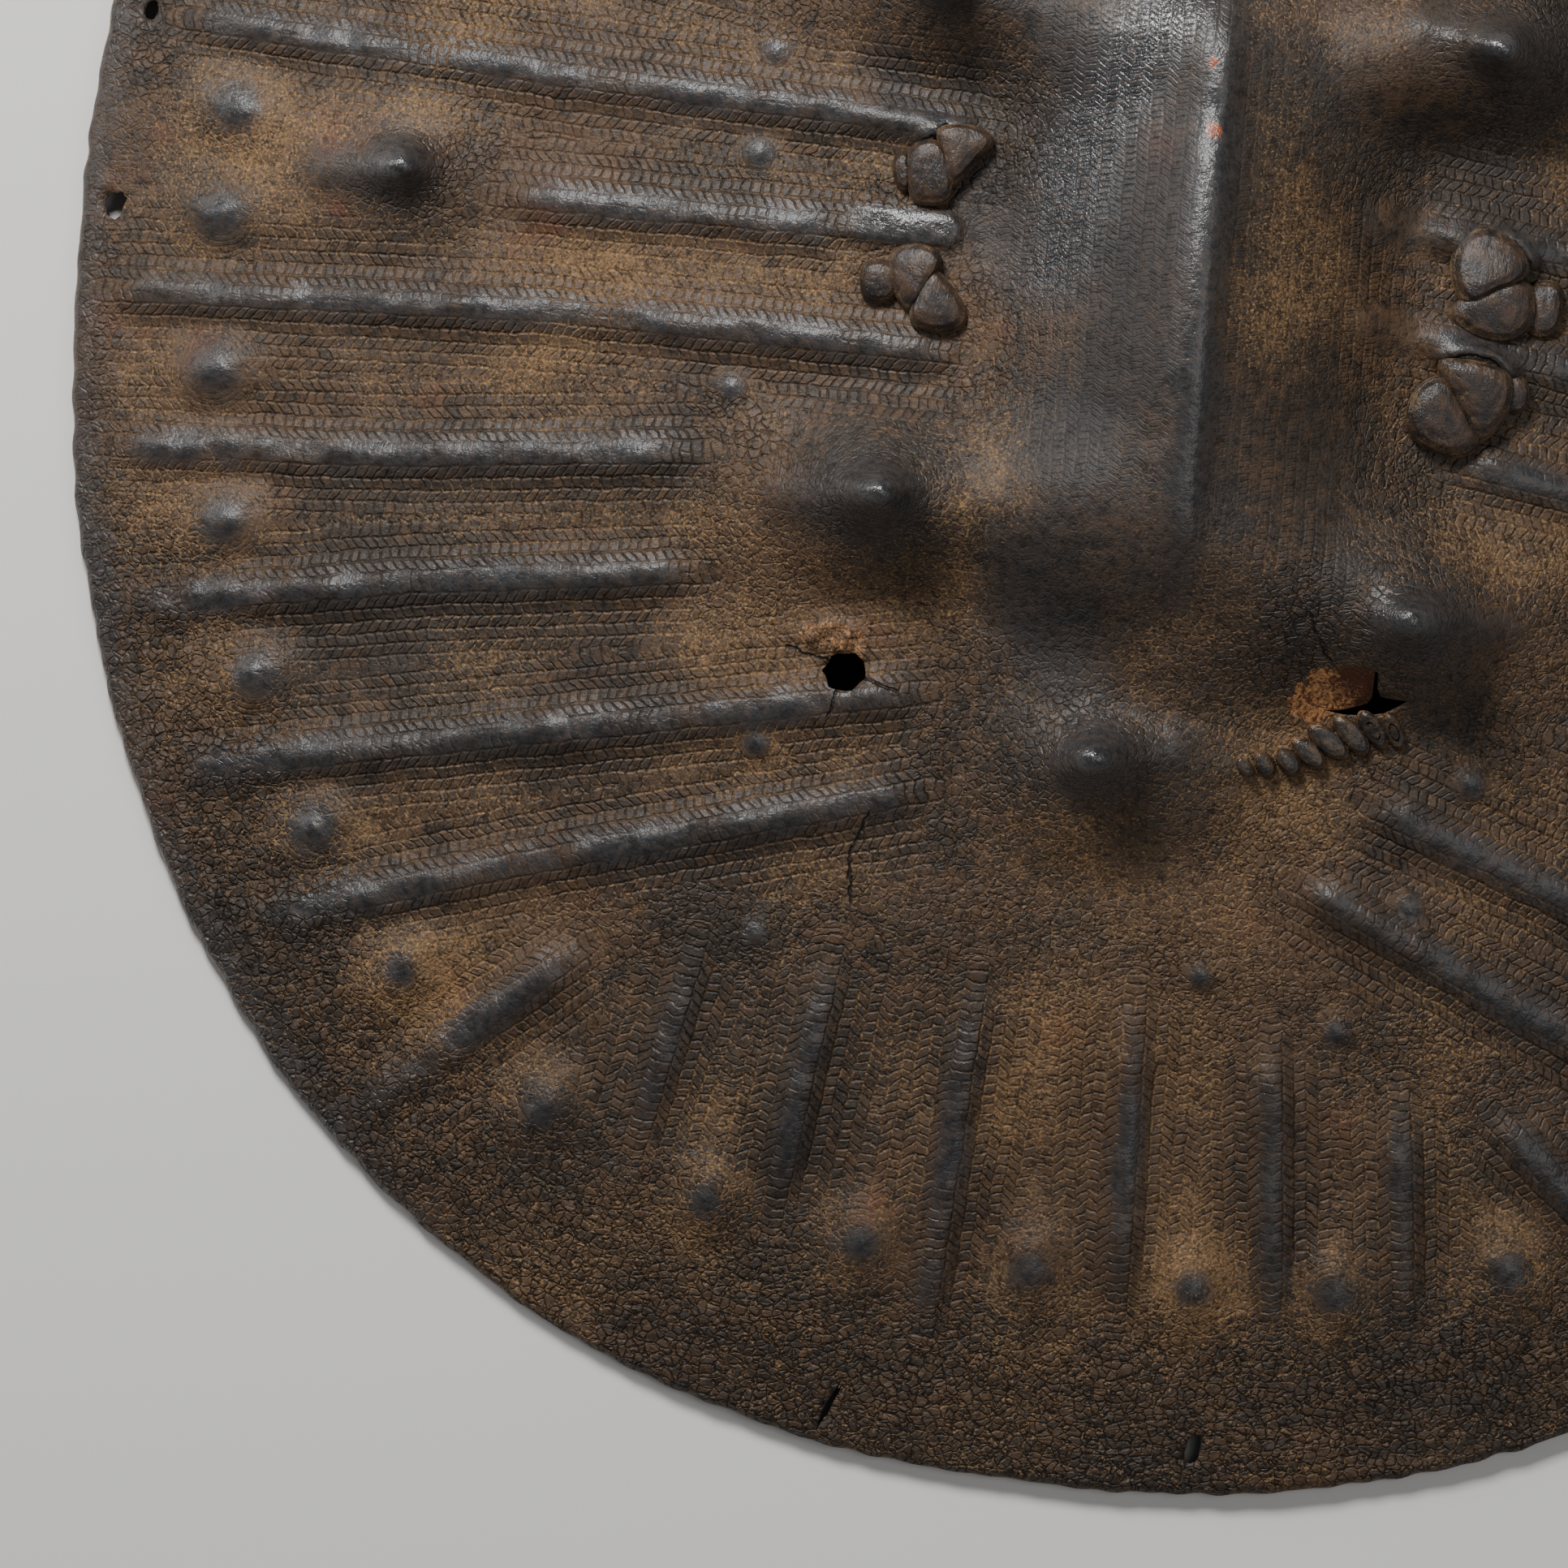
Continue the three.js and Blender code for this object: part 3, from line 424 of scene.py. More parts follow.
SWELLS = [
    # where a ridge swells to a smooth lens over a slit: its two ends, half width and height
    ((-0.0860, 0.0330), (-0.0570, 0.0285), 0.0070, 0.0012),
    ((0.0500, 0.0215), (0.0860, 0.0165), 0.0076, 0.0024),
    ((0.0500, -0.0040), (0.0850, -0.0120), 0.0076, 0.0024),
]
BAND = ((-0.0950, 0.0045), (-0.0630, 0.0056), 0.0058, 0.0028)
FLAP_EDGE = [(-0.0880, -0.1030), (-0.0850, -0.0985), (-0.0775, -0.0975), (-0.0700, -0.0985),
             (-0.0675, -0.1030), (-0.0690, -0.1075), (-0.0760, -0.1065), (-0.0830, -0.1062)]
FLAP_RISE = 0.0013
SEAM = [(0.031, -0.1224), (0.041, -0.1206), (0.050, -0.116), (0.059, -0.1106), (0.070, -0.1086)]
SEAM_RISE = 0.0011
SEAM_HALF = 0.0042


def local_forms(x, y):
    rise = np.zeros_like(x)
    some = near(x, y, (0.052, -0.099), 0.018)
    rough = 0.0004 * waves(x[some], y[some], 0.004, 8)
    sunk = ease(inside_outline(x[some], y[some], TORN_EDGE) / 0.0012 + 0.4)
    rise[some] -= sunk * (TORN_DEPTH + rough)
    for a, b, half, height in SWELLS:
        away, _ = from_segment(x, y, a, b)
        rise = np.maximum(rise, height * bell(np.minimum(away / half, 1)))
    for *route, height in LIPS:
        rise += height * np.exp(-((from_route(x, y, route) / LIP_HALF) ** 2))
    rise = np.maximum(rise, SEAM_RISE * np.exp(-((from_route(x, y, SEAM) / SEAM_HALF) ** 2)))
    away, along = from_segment(x, y, BAND[0], BAND[1])
    rise += BAND[3] * ease((BAND[2] - away) / 0.0022) * ease(along / 0.5)
    some = near(x, y, (-0.078, -0.102), 0.014)
    lumps = 0.0007 * waves(x[some], y[some], 0.005, 9)
    rise[some] += ease(inside_outline(x[some], y[some], FLAP_EDGE) / 0.0015 + 0.3) * (FLAP_RISE + lumps)
    return rise


def face(x, y):
    worn_edge = ease((reach(x, y) - 0.78) / 0.15) * ease((-y - 0.04) / 0.1)
    uneven = 0.0004 * waves(x, y, 0.042, 3) + 0.00009 * waves(x, y, 0.009, 5)
    uneven = uneven + 0.00016 * worn_edge * waves(x, y, 0.0055, 6, 24)
    quiet = ease((1 - reach(x, y)) / 0.03)
    return form(x, y) + relief(x, y) + local_forms(x, y) + uneven * quiet


# The rim is a little ragged, more so along the lower left
def ragged(angle):
    x, y = 0.29 * np.cos(angle), 0.29 * np.sin(angle)
    crumbled = ease(0.5 - 1.1 * np.sin(angle + 0.35))
    slow, quick = 1 + waves(x, y, 0.05, 31) / 2.5, 1 + waves(x, y, 0.009, 32) / 2.5
    return np.maximum(0, 0.0006 * slow + (0.00012 + 0.00035 * crumbled) * quick)


def draw_up(body, tall):
    lifted = bmesh.ops.extrude_face_region(body, geom=body.faces[:])["geom"]
    lifted = [part for part in lifted if isinstance(part, bmesh.types.BMVert)]
    bmesh.ops.translate(body, verts=lifted, vec=(0, 0, tall))


def face_out(body):
    bmesh.ops.recalc_face_normals(body, faces=body.faces[:])


def mesh_of(body, name):
    made = bpy.data.meshes.new(name)
    body.to_mesh(made)
    body.free()
    return made


def vertex_places(sheet):
    points = np.empty(len(sheet.vertices) * 3, np.float32)
    sheet.vertices.foreach_get("co", points)
    return points.reshape(-1, 3).astype(float).T


# The sheet is a round grid drawn up to a body: its foot is the hollow side, its top the face, and
# the layers between follow the rim's profile of (inset, height)
GRID = 500
RIM_PROFILE = [(0.0018, 0), (0.0006, 0.0004), (0.0001, 0.0015), (0.0002, 0.0036), (0.0006, 0.0048)]
FRONT_INSET = 0.0014
FOOT_INSET = 0.005
KEPT_SHARE = 0.186

shell = bmesh.new()
bmesh.ops.create_grid(shell, x_segments=GRID, y_segments=GRID, size=1)
draw_up(shell, 1)
walls = [e for e in shell.edges if abs(e.verts[0].co.z - e.verts[1].co.z) > 0.5]
bmesh.ops.subdivide_edges(shell, edges=walls, cuts=len(RIM_PROFILE))
bmesh.ops.triangulate(shell, faces=shell.faces[:])
face_out(shell)
mesh = mesh_of(shell, "hide")

u, v, layer = vertex_places(mesh)
disc_x, disc_y = u * np.sqrt(1 - v * v / 2), v * np.sqrt(1 - u * u / 2)
share, angle = np.hypot(disc_x, disc_y), np.arctan2(disc_y, disc_x)
ring = np.rint(layer * (len(RIM_PROFILE) + 1)).astype(int)
insets = np.array([FOOT_INSET, *[inset for inset, _ in RIM_PROFILE], FRONT_INSET])
edge_x, edge_y = outline(angle, insets[ring] + ragged(angle))
x, y = share * edge_x, share * edge_y
z = np.array([0, *[height for _, height in RIM_PROFILE], 0])[ring]
front, inside = ring == ring.max(), ring == 0
z[front] = face(x[front], y[front])
z[inside] = hollow(x[inside], y[inside])
z[inside & (share > 0.999)] = 0
mesh.vertices.foreach_set("co", np.stack([x, y, z], 1).astype(np.float32).ravel())
mesh.update()
hide = put("hide", mesh)

# The holes and slits are cut with prisms of a ragged outline
HOLES = [
    # centre, half length, half width, turn, raggedness, corners
    ((-0.0734, -0.1108), 0.0054, 0.0050, 0.2, 0.09, 22),
    ((-0.2745, 0.037), 0.0026, 0.0018, 1.4, 0.10, 16),
    ((-0.2775, -0.0145), 0.0037, 0.0027, 1.3, 0.16, 18),
    ((-0.0526, -0.3005), 0.0062, 0.0009, 1.2, 0.25, 18),
    ((0.043, -0.2995), 0.0043, 0.0019, 1.45, 0.12, 18),
]
TEAR = [
    (0.0505, -0.1046), (0.0547, -0.1041), (0.0580, -0.1029), (0.0613, -0.1016), (0.0624, -0.0999),
    (0.0623, -0.0959), (0.0622, -0.0930), (0.0630, -0.0934), (0.0635, -0.0974), (0.0646, -0.0994),
    (0.0679, -0.0996), (0.0716, -0.0996), (0.0693, -0.1014), (0.0661, -0.1034), (0.0617, -0.1046),
    (0.0554, -0.1051),
]
THONG_ENDS = {
    "upper": ((-0.066, 0.027), (0.082, 0.013)),
    "lower": ((-0.067, -0.008), (0.077, -0.020)),
}
THONG_HALF_WIDTH = 0.007
THONG_THICK = 0.0028
SLIT_GAP = 0.0008
SLIT_HALF = 0.0058
TALL = 0.2

cutter = bmesh.new()
draw = np.random.default_rng(11)
slots = list(HOLES)
for start, end in THONG_ENDS.values():
    turn = math.atan2(end[1] - start[1], end[0] - start[0])
    for place in (start, end):
        slots.append((place, THONG_THICK / 2 + SLIT_GAP, SLIT_HALF, turn, 0.04, 24))
for centre, half_long, half_wide, turn, ragged_by, corners in slots:
    loop = bmesh.ops.create_circle(cutter, cap_ends=True, radius=1, segments=corners)["verts"]
    for vert in loop:
        vert.co *= 1 + draw.uniform(-ragged_by, ragged_by)
    place = Matrix.Translation((*centre, -TALL / 2)) @ Matrix.Rotation(turn, 4, "Z")
    bmesh.ops.transform(cutter, verts=loop, matrix=place @ Matrix.Diagonal((half_long, half_wide, 1, 1)))
cutter.faces.new([cutter.verts.new((*point, -TALL / 2)) for point in TEAR])
draw_up(cutter, 1.5 * TALL)
face_out(cutter)
cutter_object = put("cutter", mesh_of(cutter, "cutter"))

cut = hide.modifiers.new("holes", "BOOLEAN")
cut.operation = "DIFFERENCE"
cut.solver = "MANIFOLD"
cut.object = cutter_object
thin = hide.modifiers.new("thin", "DECIMATE")
thin.ratio = KEPT_SHARE
hide.modifiers.new("triangles", "TRIANGULATE")
finished = bpy.data.meshes.new_from_object(hide.evaluated_get(bpy.context.evaluated_depsgraph_get()))
hide.modifiers.clear()
hide.data = finished
bpy.data.meshes.remove(mesh)
bpy.data.objects.remove(cutter_object)
finished.name = "hide"
finished.shade_smooth()

x, y, z = vertex_places(finished)


# What the finish follows is kept at each point: the distance to the nearest ridge and to the
# nearest peak, and how far the point is worn, dusty, crumbled, torn or cracked
def store(name, values):
    attribute = finished.attributes.new(name, "FLOAT", "POINT")
    attribute.data.foreach_set("value", np.ascontiguousarray(values, dtype=np.float32))


CRACKS = [
    [(0.0430, -0.0805), (0.0465, -0.0868), (0.0515, -0.0940)],
    [(-0.0622, -0.1460), (-0.0660, -0.1580), (-0.0640, -0.1700)],
    [(-0.0775, -0.1085), (-0.0900, -0.1060)], [(-0.0690, -0.1115), (-0.0590, -0.1140)],
    [(-0.0745, -0.1150), (-0.0760, -0.1230)], [(-0.0728, 0.0262), (-0.0690, 0.0288)],
    [(0.0775, 0.0222), (0.0812, 0.0220), (0.0852, 0.0200), (0.0880, 0.0160)],
    [(0.0685, -0.0122), (0.0757, -0.0090), (0.0824, -0.0100), (0.0866, -0.0140)],
]
# Small scuffs down to the red-brown of the hide: centre and radius
SCUFFS = [
    (0.0, 0.0565, 0.0014), (0.0023, 0.0388, 0.0020),
    (0.0005, -0.0944, 0.0018), (-0.0632, -0.0769, 0.0014),
]
DOME_ZONE = 0.0175
STUD_ZONE = 0.0075
away, _, full, half = ridge_field(x, y)
out = reach(x, y)
side = x - spine_x(y)
ring_away = np.full_like(x, 1.0)
ringed = np.zeros_like(x)
tops = np.zeros_like(x)
for centre, zone, top in (
        [(dome, DOME_ZONE, 0.0072 if dome[1] > -0.2 else 0.0050) for dome in DOMES]
        + [(stud, STUD_ZONE, 0.0034) for stud in ALL_STUDS]
        + [(cone[0], cone[2] * 0.9, 0.0050) for cone in CONES]):
    off = np.hypot(x - centre[0], y - centre[1])
    ring_away = np.minimum(ring_away, off)
    ringed = np.maximum(ringed, ease((zone - off) / (0.5 * zone)))
    tops = np.maximum(tops, np.exp(-((off / top) ** 2)))
for peak, wing, base, _, _ in CONES:
    tops = np.maximum(tops, 0.95 * pinched(x, y, peak, wing, 1.3 * base))
    tops = np.maximum(tops, 0.55 * np.exp(-((from_segment(x, y, peak, wing)[0] / (0.30 * base)) ** 2)))
drift = 0.008 * waves(x, y, 0.05, 51)
column = ease((0.062 - np.abs(side) + drift) / 0.035) * ease((0.104 - np.abs(y) + 2 * drift) / 0.05)
crest = np.exp(-((side / 0.0070) ** 2)) * ease((0.098 - np.abs(y)) / 0.05)
ridge_top = np.exp(-((away / (0.95 * half)) ** 2)) * ease(full)
GLOSS = [
    (0.000, 0.088), (-0.010, 0.070), (-0.021, 0.054), (-0.028, 0.036), (-0.030, 0.018), (-0.033, 0.002),
]
gloss = (from_route(x, y, GLOSS) + 0.3 * drift) / 0.0115
gloss = np.exp(-(gloss ** 2)) * (side < 0.003)
flank = from_segment(x, y, (-0.012, -0.085), (-0.024, 0.050))[0] + 1.6 * np.maximum(0, side)
dark = 0.75 * ease((0.050 - flank + 2.2 * drift) / 0.054)
rim_burnish = ease((out - 0.94) / 0.05) * ease((-x - 0.12) / 0.1)
streaky = 0.76 + 0.08 * waves(x, y, 0.010, 52) + 0.10 * waves(x, y, 0.04, 53)
# Round each cone, and along its shoulder from the crest, the hide is darkened: partly the cones' own dark
# hide, partly painted shade
knobs = np.zeros_like(x)
for peak, wing, base, _, shoulder in CONES:
    knobs = np.maximum(knobs, pinched(x, y, peak, wing, 1.35 * base))
    root = (spine_x(peak[1]), peak[1]) if shoulder else wing
    cone_shade_and_dark = bell(np.minimum((from_segment(x, y, root, peak)[0] + 0.8 * drift) / 0.034, 1))
    dark = np.maximum(dark, (0.5 if shoulder else 0.28) * cone_shade_and_dark)
worn = np.maximum.reduce([ridge_top * streaky, tops, 0.8 * crest, gloss, 0.15 * dark, 0.6 * rim_burnish])
low = (1 - np.exp(-((away / 0.011) ** 2))) * (1 - 0.5 * tops)
rim_dust = ease((out - 0.75) / 0.2) * ease((-y - 0.05) / 0.12)
pale_mound = np.exp(-((ring_away / 0.015) ** 2)) * ringed * rim_dust
dusty = 0.24 + 0.22 * low + 0.06 * rim_dust + 0.12 * waves(x, y, 0.07, 41)
dusty = np.clip(dusty - 0.30 * dark + 0.3 * pale_mound - 0.14 * column, 0, 1)
cap = (1 - ease(full * 1.6)) * ease((away - 0.002) / 0.005)
cracked = np.zeros_like(x)
crack = np.full_like(x, 1.0)
for a, b in [pair for run in CRACKS for pair in zip(run, run[1:])]:
    length = math.dist(a, b)
    dx, dy = (b[0] - a[0]) / length, (b[1] - a[1]) / length
    off = (x - a[0]) * dy - (y - a[1]) * dx
    along = (x - a[0]) * dx + (y - a[1]) * dy
    beside = ease(np.minimum(along, length - along) / 0.002 + 0.7) * ease((0.006 - np.abs(off)) / 0.003)
    crack = np.where(beside > cracked, off, crack)
    cracked = np.maximum(cracked, beside)
torn = ease(inside_outline(x, y, TORN_EDGE) / 0.0018 + 0.6)
flap = ease(inside_outline(x, y, FLAP_EDGE) / 0.0018 + 0.6)
lips = np.max([np.exp(-((from_route(x, y, route) / 0.0015) ** 2)) for *route, _ in LIPS], 0)
band, along = from_segment(x, y, BAND[0], BAND[1])
band = ease((BAND[2] - band) / 0.002) * ease(along / 0.5)
swell = [ease((wide - from_segment(x, y, a, b)[0]) / 0.004) for a, b, wide, _ in SWELLS]
near_tear = np.exp(-((np.hypot(x - 0.040, y + 0.086) / 0.020) ** 2))
store("row", away)
store("ring", ring_away)
store("ringed", ringed * (1 - ridge_top))
store("plain", np.maximum.reduce([0.9 * np.max(swell, 0), band, lips, 0.7 * crest, 0.6 * tops]))
store("dark", dark)
store("column", column)
store("worn", np.maximum.reduce([worn, 0.9 * lips, 0.9 * band]))
store("dusty", dusty * (1 - 0.6 * band) * (1 - 0.8 * lips))
rim_crumb = ease((out - 0.80) / 0.12) * ease((-y - 0.03) / 0.12)
store("crumb", np.maximum(rim_crumb, near_tear))
store("cap", np.maximum(0.85 * cap, 0.5 * ease((away - 0.016) / 0.012)) * (1 - 0.8 * column))
store("shine", np.maximum.reduce([gloss, 0.9 * knobs, 0.25 * crest, 0.5 * band]))
store("front", z > hollow(x, y) + THICK * 0.6)
store("torn", np.maximum(torn, 0.46 * flap))
store("crack", crack)
store("scuff", np.max([np.exp(-((np.hypot(x - sx, y - sy) / wide) ** 2)) for sx, sy, wide in SCUFFS], 0))
store("cracked", cracked)

corners = np.empty(len(finished.loops), np.int32)
finished.loops.foreach_get("vertex_index", corners)
triangles = corners.reshape(-1, 3)
centre_x, centre_y = x[triangles].mean(1), y[triangles].mean(1)
nearest = np.full(len(triangles), 1.0)
place = np.zeros((len(triangles), 3))
RIDGE_START = 0.1
for index, ridge in enumerate(RIDGES):
    off, _ = from_segment(centre_x, centre_y, ridge[0], ridge[1])
    length = math.dist(ridge[0], ridge[1])
    dx, dy = (ridge[1][0] - ridge[0][0]) / length, (ridge[1][1] - ridge[0][1]) / length
    closer = off < nearest
    nearest = np.where(closer, off, nearest)
    at = (x[triangles] - ridge[0][0]) * dx + (y[triangles] - ridge[0][1]) * dy
    place = np.where(closer[:, None], at + RIDGE_START * index, place)
tooling = finished.uv_layers.new(name="tooling")
uv = np.stack([place.ravel(), np.zeros(place.size)], 1)
tooling.data.foreach_set("uv", uv.astype(np.float32).ravel())


# A finish is a material whose nodes are laid out by these few steps
class Finish:
    def __init__(self, name):
        self.material = bpy.data.materials.new(name)
        self.material.use_nodes = True
        self.tree = self.material.node_tree
        self.shader = self.tree.nodes["Principled BSDF"]

    def set(self, socket, value):
        if isinstance(value, bpy.types.NodeSocket):
            self.tree.links.new(value, socket)
        elif value is not None:
            socket.default_value = value

    def add(self, kind, inputs=(), output=0, **settings):
        node = self.tree.nodes.new("ShaderNode" + kind)
        for key, value in settings.items():
            setattr(node, key, value)
        for key, value in dict(inputs).items():
            self.set(node.inputs[key], value)
        return node.outputs[output]

    def calc(self, operation, a, b=None, c=None):
        return self.add("Math", {0: a, 1: b, 2: c}, operation=operation)

    def chain(self, operation, values):
        total = values[0]
        for value in values[1:]:
            total = self.calc(operation, total, value)
        return total

    def plus(self, *values):
        return self.chain("ADD", values)

    def minus(self, a, b):
        return self.calc("SUBTRACT", a, b)

    def times(self, *values):
        return self.chain("MULTIPLY", values)

    def step(self, value, low, high, to_low=0.0, to_high=1.0):
        inputs = {"Value": value, "From Min": low, "From Max": high, "To Min": to_low, "To Max": to_high}
        return self.add("MapRange", inputs, interpolation_type="SMOOTHSTEP")

    def blend(self, share, a, b):
        return self.add("Mix", {0: share, 6: a, 7: b}, output=2, data_type="RGBA")

    def lerp(self, share, a, b):
        return self.add("Mix", {0: share, 2: a, 3: b}, output=0, data_type="FLOAT")

    def noise(self, vector, scale, detail=3.0, rough=0.55):
        inputs = {"Vector": vector, "Scale": scale, "Detail": detail, "Roughness": rough}
        return self.add("TexNoise", inputs)

    def about(self, value, size):
        return self.times(self.minus(value, 0.5), size)

    def swing(self, vector, scale, size, detail=2.0):
        return self.about(self.noise(vector, scale, detail), size)

    def kept(self, name):
        return self.add("Attribute", output=2, attribute_name=name)

    def repeat(self, value, pitch):
        scaled = self.calc("DIVIDE", value, pitch)
        part = self.calc("FRACT", scaled)
        edge = self.minus(0.5, self.calc("ABSOLUTE", self.minus(part, 0.5)))
        return self.calc("FLOOR", scaled), part, edge

    def give(self, name, value):
        self.set(self.shader.inputs[name], value)

    def bump(self, height, distance):
        inputs = {"Height": height, "Distance": distance, "Strength": 1.0}
        self.give("Normal", self.add("Bump", inputs, output="Normal"))


def paint(r, g, b):
    return (*[((c / 255 + 0.055) / 1.055) ** 2.4 for c in (r, g, b)], 1)


DUST = paint(124, 95, 63)
DUST_PALE = paint(160, 128, 88)
HIDE_BROWN = paint(80, 61, 44)
HIDE_DARK = paint(53, 45, 38)
# Dark grey-brown: the colour of polished hide, also painted as shade round the cones
HIDE_POLISHED_AND_SHADE = paint(45, 46, 48)
# Near-black: painted as shade in the creases and pits, and the colour of the crack lines
HIDE_SHADE_AND_CRACK = paint(26, 20, 16)
HIDE_RUST = paint(112, 56, 30)
FIBRE = paint(172, 124, 80)
FIBRE_DARK = paint(74, 40, 22)
SCUFF = paint(132, 66, 36)

ROW_PITCH = 0.0031
CELL_PITCH = 0.0026
CELL_SLANT = 0.0021
RING_PITCH = 0.0015
COLUMN_PITCH = 0.0030
DASH_PITCH = 0.0017

look = Finish("tooled_hide")
at = look.add("TexCoord", output="Object")
broad = look.noise(at, 16, 3)
patch = look.noise(at, 60, 3)
grit = look.noise(at, 1300, 2, 0.75)
grain = look.noise(at, 420, 3, 0.6)
sway = look.swing(at, 95, 0.0017)


# Rows of slanted cells, every second row slanted the more
def braid(row, along, row_pitch, cell_pitch, slant):
    index, part, edge = look.repeat(row, row_pitch)
    parity = look.times(look.calc("FRACT", look.times(index, 0.5)), 4.0)
    parity = look.minus(parity, 1.0)
    lean = look.plus(look.times(parity, 0.7 * slant), 0.3 * slant)
    along = look.plus(along, look.times(index, 0.00113))
    along = look.plus(along, look.times(lean, look.minus(part, 0.5)))
    cell_index, _, cell_edge = look.repeat(along, cell_pitch)
    cell = look.add("CombineXYZ", {0: index, 1: cell_index})
    odd = look.add("TexWhiteNoise", {"Vector": cell}, noise_dimensions="3D")
    crown = look.step(edge, 0.0, 0.2, 0.3, 1.0)
    crown = look.times(crown, look.step(cell_edge, 0.0, 0.2, 0.15, 1.0))
    return look.times(crown, look.lerp(odd, 0.70, 1.0)), odd


row = look.plus(look.kept("row"), sway, look.swing(at, 300, 0.0010))
place_along = look.add("SeparateXYZ", {0: look.add("UVMap", uv_map="tooling")})
place_along = look.plus(place_along, look.swing(at, 260, 0.0024))
cells, odd = braid(row, place_along, ROW_PITCH, CELL_PITCH, CELL_SLANT)

# Fine rings round the peaks, and finer rows up the flanks of the boss
_, _, ring_edge = look.repeat(look.plus(look.kept("ring"), look.times(sway, 0.6)), RING_PITCH)
rings = look.step(ring_edge, 0.0, 0.3, 0.58, 0.8)
split = look.tree.nodes.new("ShaderNodeSeparateXYZ")
look.set(split.inputs[0], at)
across = look.plus(split.outputs[0], look.times(split.outputs[1], -SPINE_LEAN), sway)
up = look.plus(split.outputs[1], look.swing(at, 260, 0.0016))
columns, _ = braid(across, up, COLUMN_PITCH, DASH_PITCH, DASH_PITCH)
columns = look.lerp(0.12, columns, 0.75)

# Crumbled grain along the lower rim, where the tooling has broken up
bent = look.add("TexNoise", {"Vector": at, "Scale": 260.0}, output="Color")
bent = look.add("VectorMath", {0: bent, 3: 0.0035}, operation="SCALE")
bent = look.add("VectorMath", {0: at, 1: bent}, operation="ADD")
web = {"Vector": bent, "Scale": 400.0}
crumbs = look.add("TexVoronoi", web, output="Distance", feature="DISTANCE_TO_EDGE")
crumbs = look.step(crumbs, 0.0, 0.16)
crumb_share = look.times(look.kept("crumb"), look.step(patch, 0.3, 0.5))
split_line = look.calc("ABSOLUTE", look.plus(look.kept("crack"), look.swing(at, 380, 0.0022)))
split_line = look.times(look.step(split_line, 0.0006, 0.0001), look.kept("cracked"))

worn = look.kept("worn")
torn = look.step(look.plus(look.kept("torn"), look.swing(at, 900, 0.7)), 0.4, 0.6)
far = look.step(look.kept("row"), 0.012, 0.030, 1.0, 0.35)
plain = look.kept("plain")
height = look.lerp(look.times(look.kept("ringed"), 0.85), cells, rings)
height = look.lerp(look.kept("column"), height, columns)
crackle = look.step(look.swing(at, 120, 1.0), -0.25, 0.1, 0.55, 1.0)
crackle = look.times(look.kept("cap"), crackle)
height = look.lerp(look.calc("MAXIMUM", look.times(crumb_share, 0.85), crackle), height, crumbs)
faint = look.step(look.plus(patch, look.times(broad, 0.5)), 0.6, 1.0, 1.0, 0.5)
gritty = look.plus(look.about(grit, 1.3), look.about(grain, 1.1))
polished = look.times(look.minus(height, 0.6), look.lerp(worn, 0.7, 0.0))
polished = look.plus(worn, polished, gritty)
polished = look.step(look.plus(polished, look.swing(at, 60, 0.5)), 0.15, 0.95)
near_rings = look.calc("MAXIMUM", look.kept("crumb"), look.kept("ringed"))
tool_depth = look.times(look.step(worn, 0.25, 0.8, 1.0, 0.15), faint)
tool_depth = look.times(tool_depth, look.lerp(near_rings, far, 1.0))
tool_depth = look.times(tool_depth, look.lerp(look.kept("crumb"), 1.0, 1.9))
tool_depth = look.plus(tool_depth, look.times(look.kept("shine"), look.kept("column"), 0.6))
tool_depth = look.times(tool_depth, look.lerp(plain, 1.0, 0.12))

# Dust lies in the low places and clings to the grit; the creases of the tooling are painted dark as painted
# shade
dust = look.plus(look.kept("dusty"), look.swing(at, 60, 0.7), look.swing(at, 14, 0.5))
dust = look.plus(dust, look.about(grit, 1.7))
lowness = look.minus(0.55, height)
dust = look.plus(dust, look.times(lowness, look.times(tool_depth, 0.45)))
dust = look.minus(dust, look.times(polished, 0.55))
dust_share = look.step(dust, 0.25, 0.95)
tone = look.plus(broad, look.swing(at, 240, 0.6), look.times(look.minus(odd, 0.5), tool_depth, 0.25))
bare = look.blend(look.step(tone, 0.35, 0.65), HIDE_DARK, HIDE_BROWN)
bare = look.blend(look.step(look.noise(at, 34, 3), 0.62, 0.8, 0.0, 0.35), bare, HIDE_RUST)
# The dark mask: the darker, duller hide of the left flank, and painted shade round the cones
bare = look.blend(look.times(look.kept("dark"), 0.8), bare, HIDE_POLISHED_AND_SHADE)
rubbed = look.blend(look.step(grain, 0.45, 0.7, 0.0, 0.4), HIDE_POLISHED_AND_SHADE, HIDE_BROWN)
bare = look.blend(polished, bare, rubbed)
dust_colour = look.blend(look.step(grit, 0.5, 0.75), DUST, DUST_PALE)
colour = look.blend(look.times(dust_share, 0.85), bare, dust_colour)
# Painted shade: the low places of the tooled relief are darkened toward the near-black
crease_shade = look.times(look.step(height, 0.36, 0.05), look.times(tool_depth, 0.85))
colour = look.blend(crease_shade, colour, HIDE_SHADE_AND_CRACK)
# Painted shade: dark specks painted at the low points of the grain's bump, as shade in the pits
pit_shade = look.step(look.plus(grain, look.times(grit, 0.6)), 0.82, 0.62, 0.0, 0.6)
colour = look.blend(pit_shade, colour, HIDE_SHADE_AND_CRACK)
strands = look.add("Mapping", {"Vector": bent, "Rotation": (0.0, 0.0, 0.5), "Scale": (1.0, 0.3, 1.0)})
strands = look.noise(strands, 900, 3, 0.7)
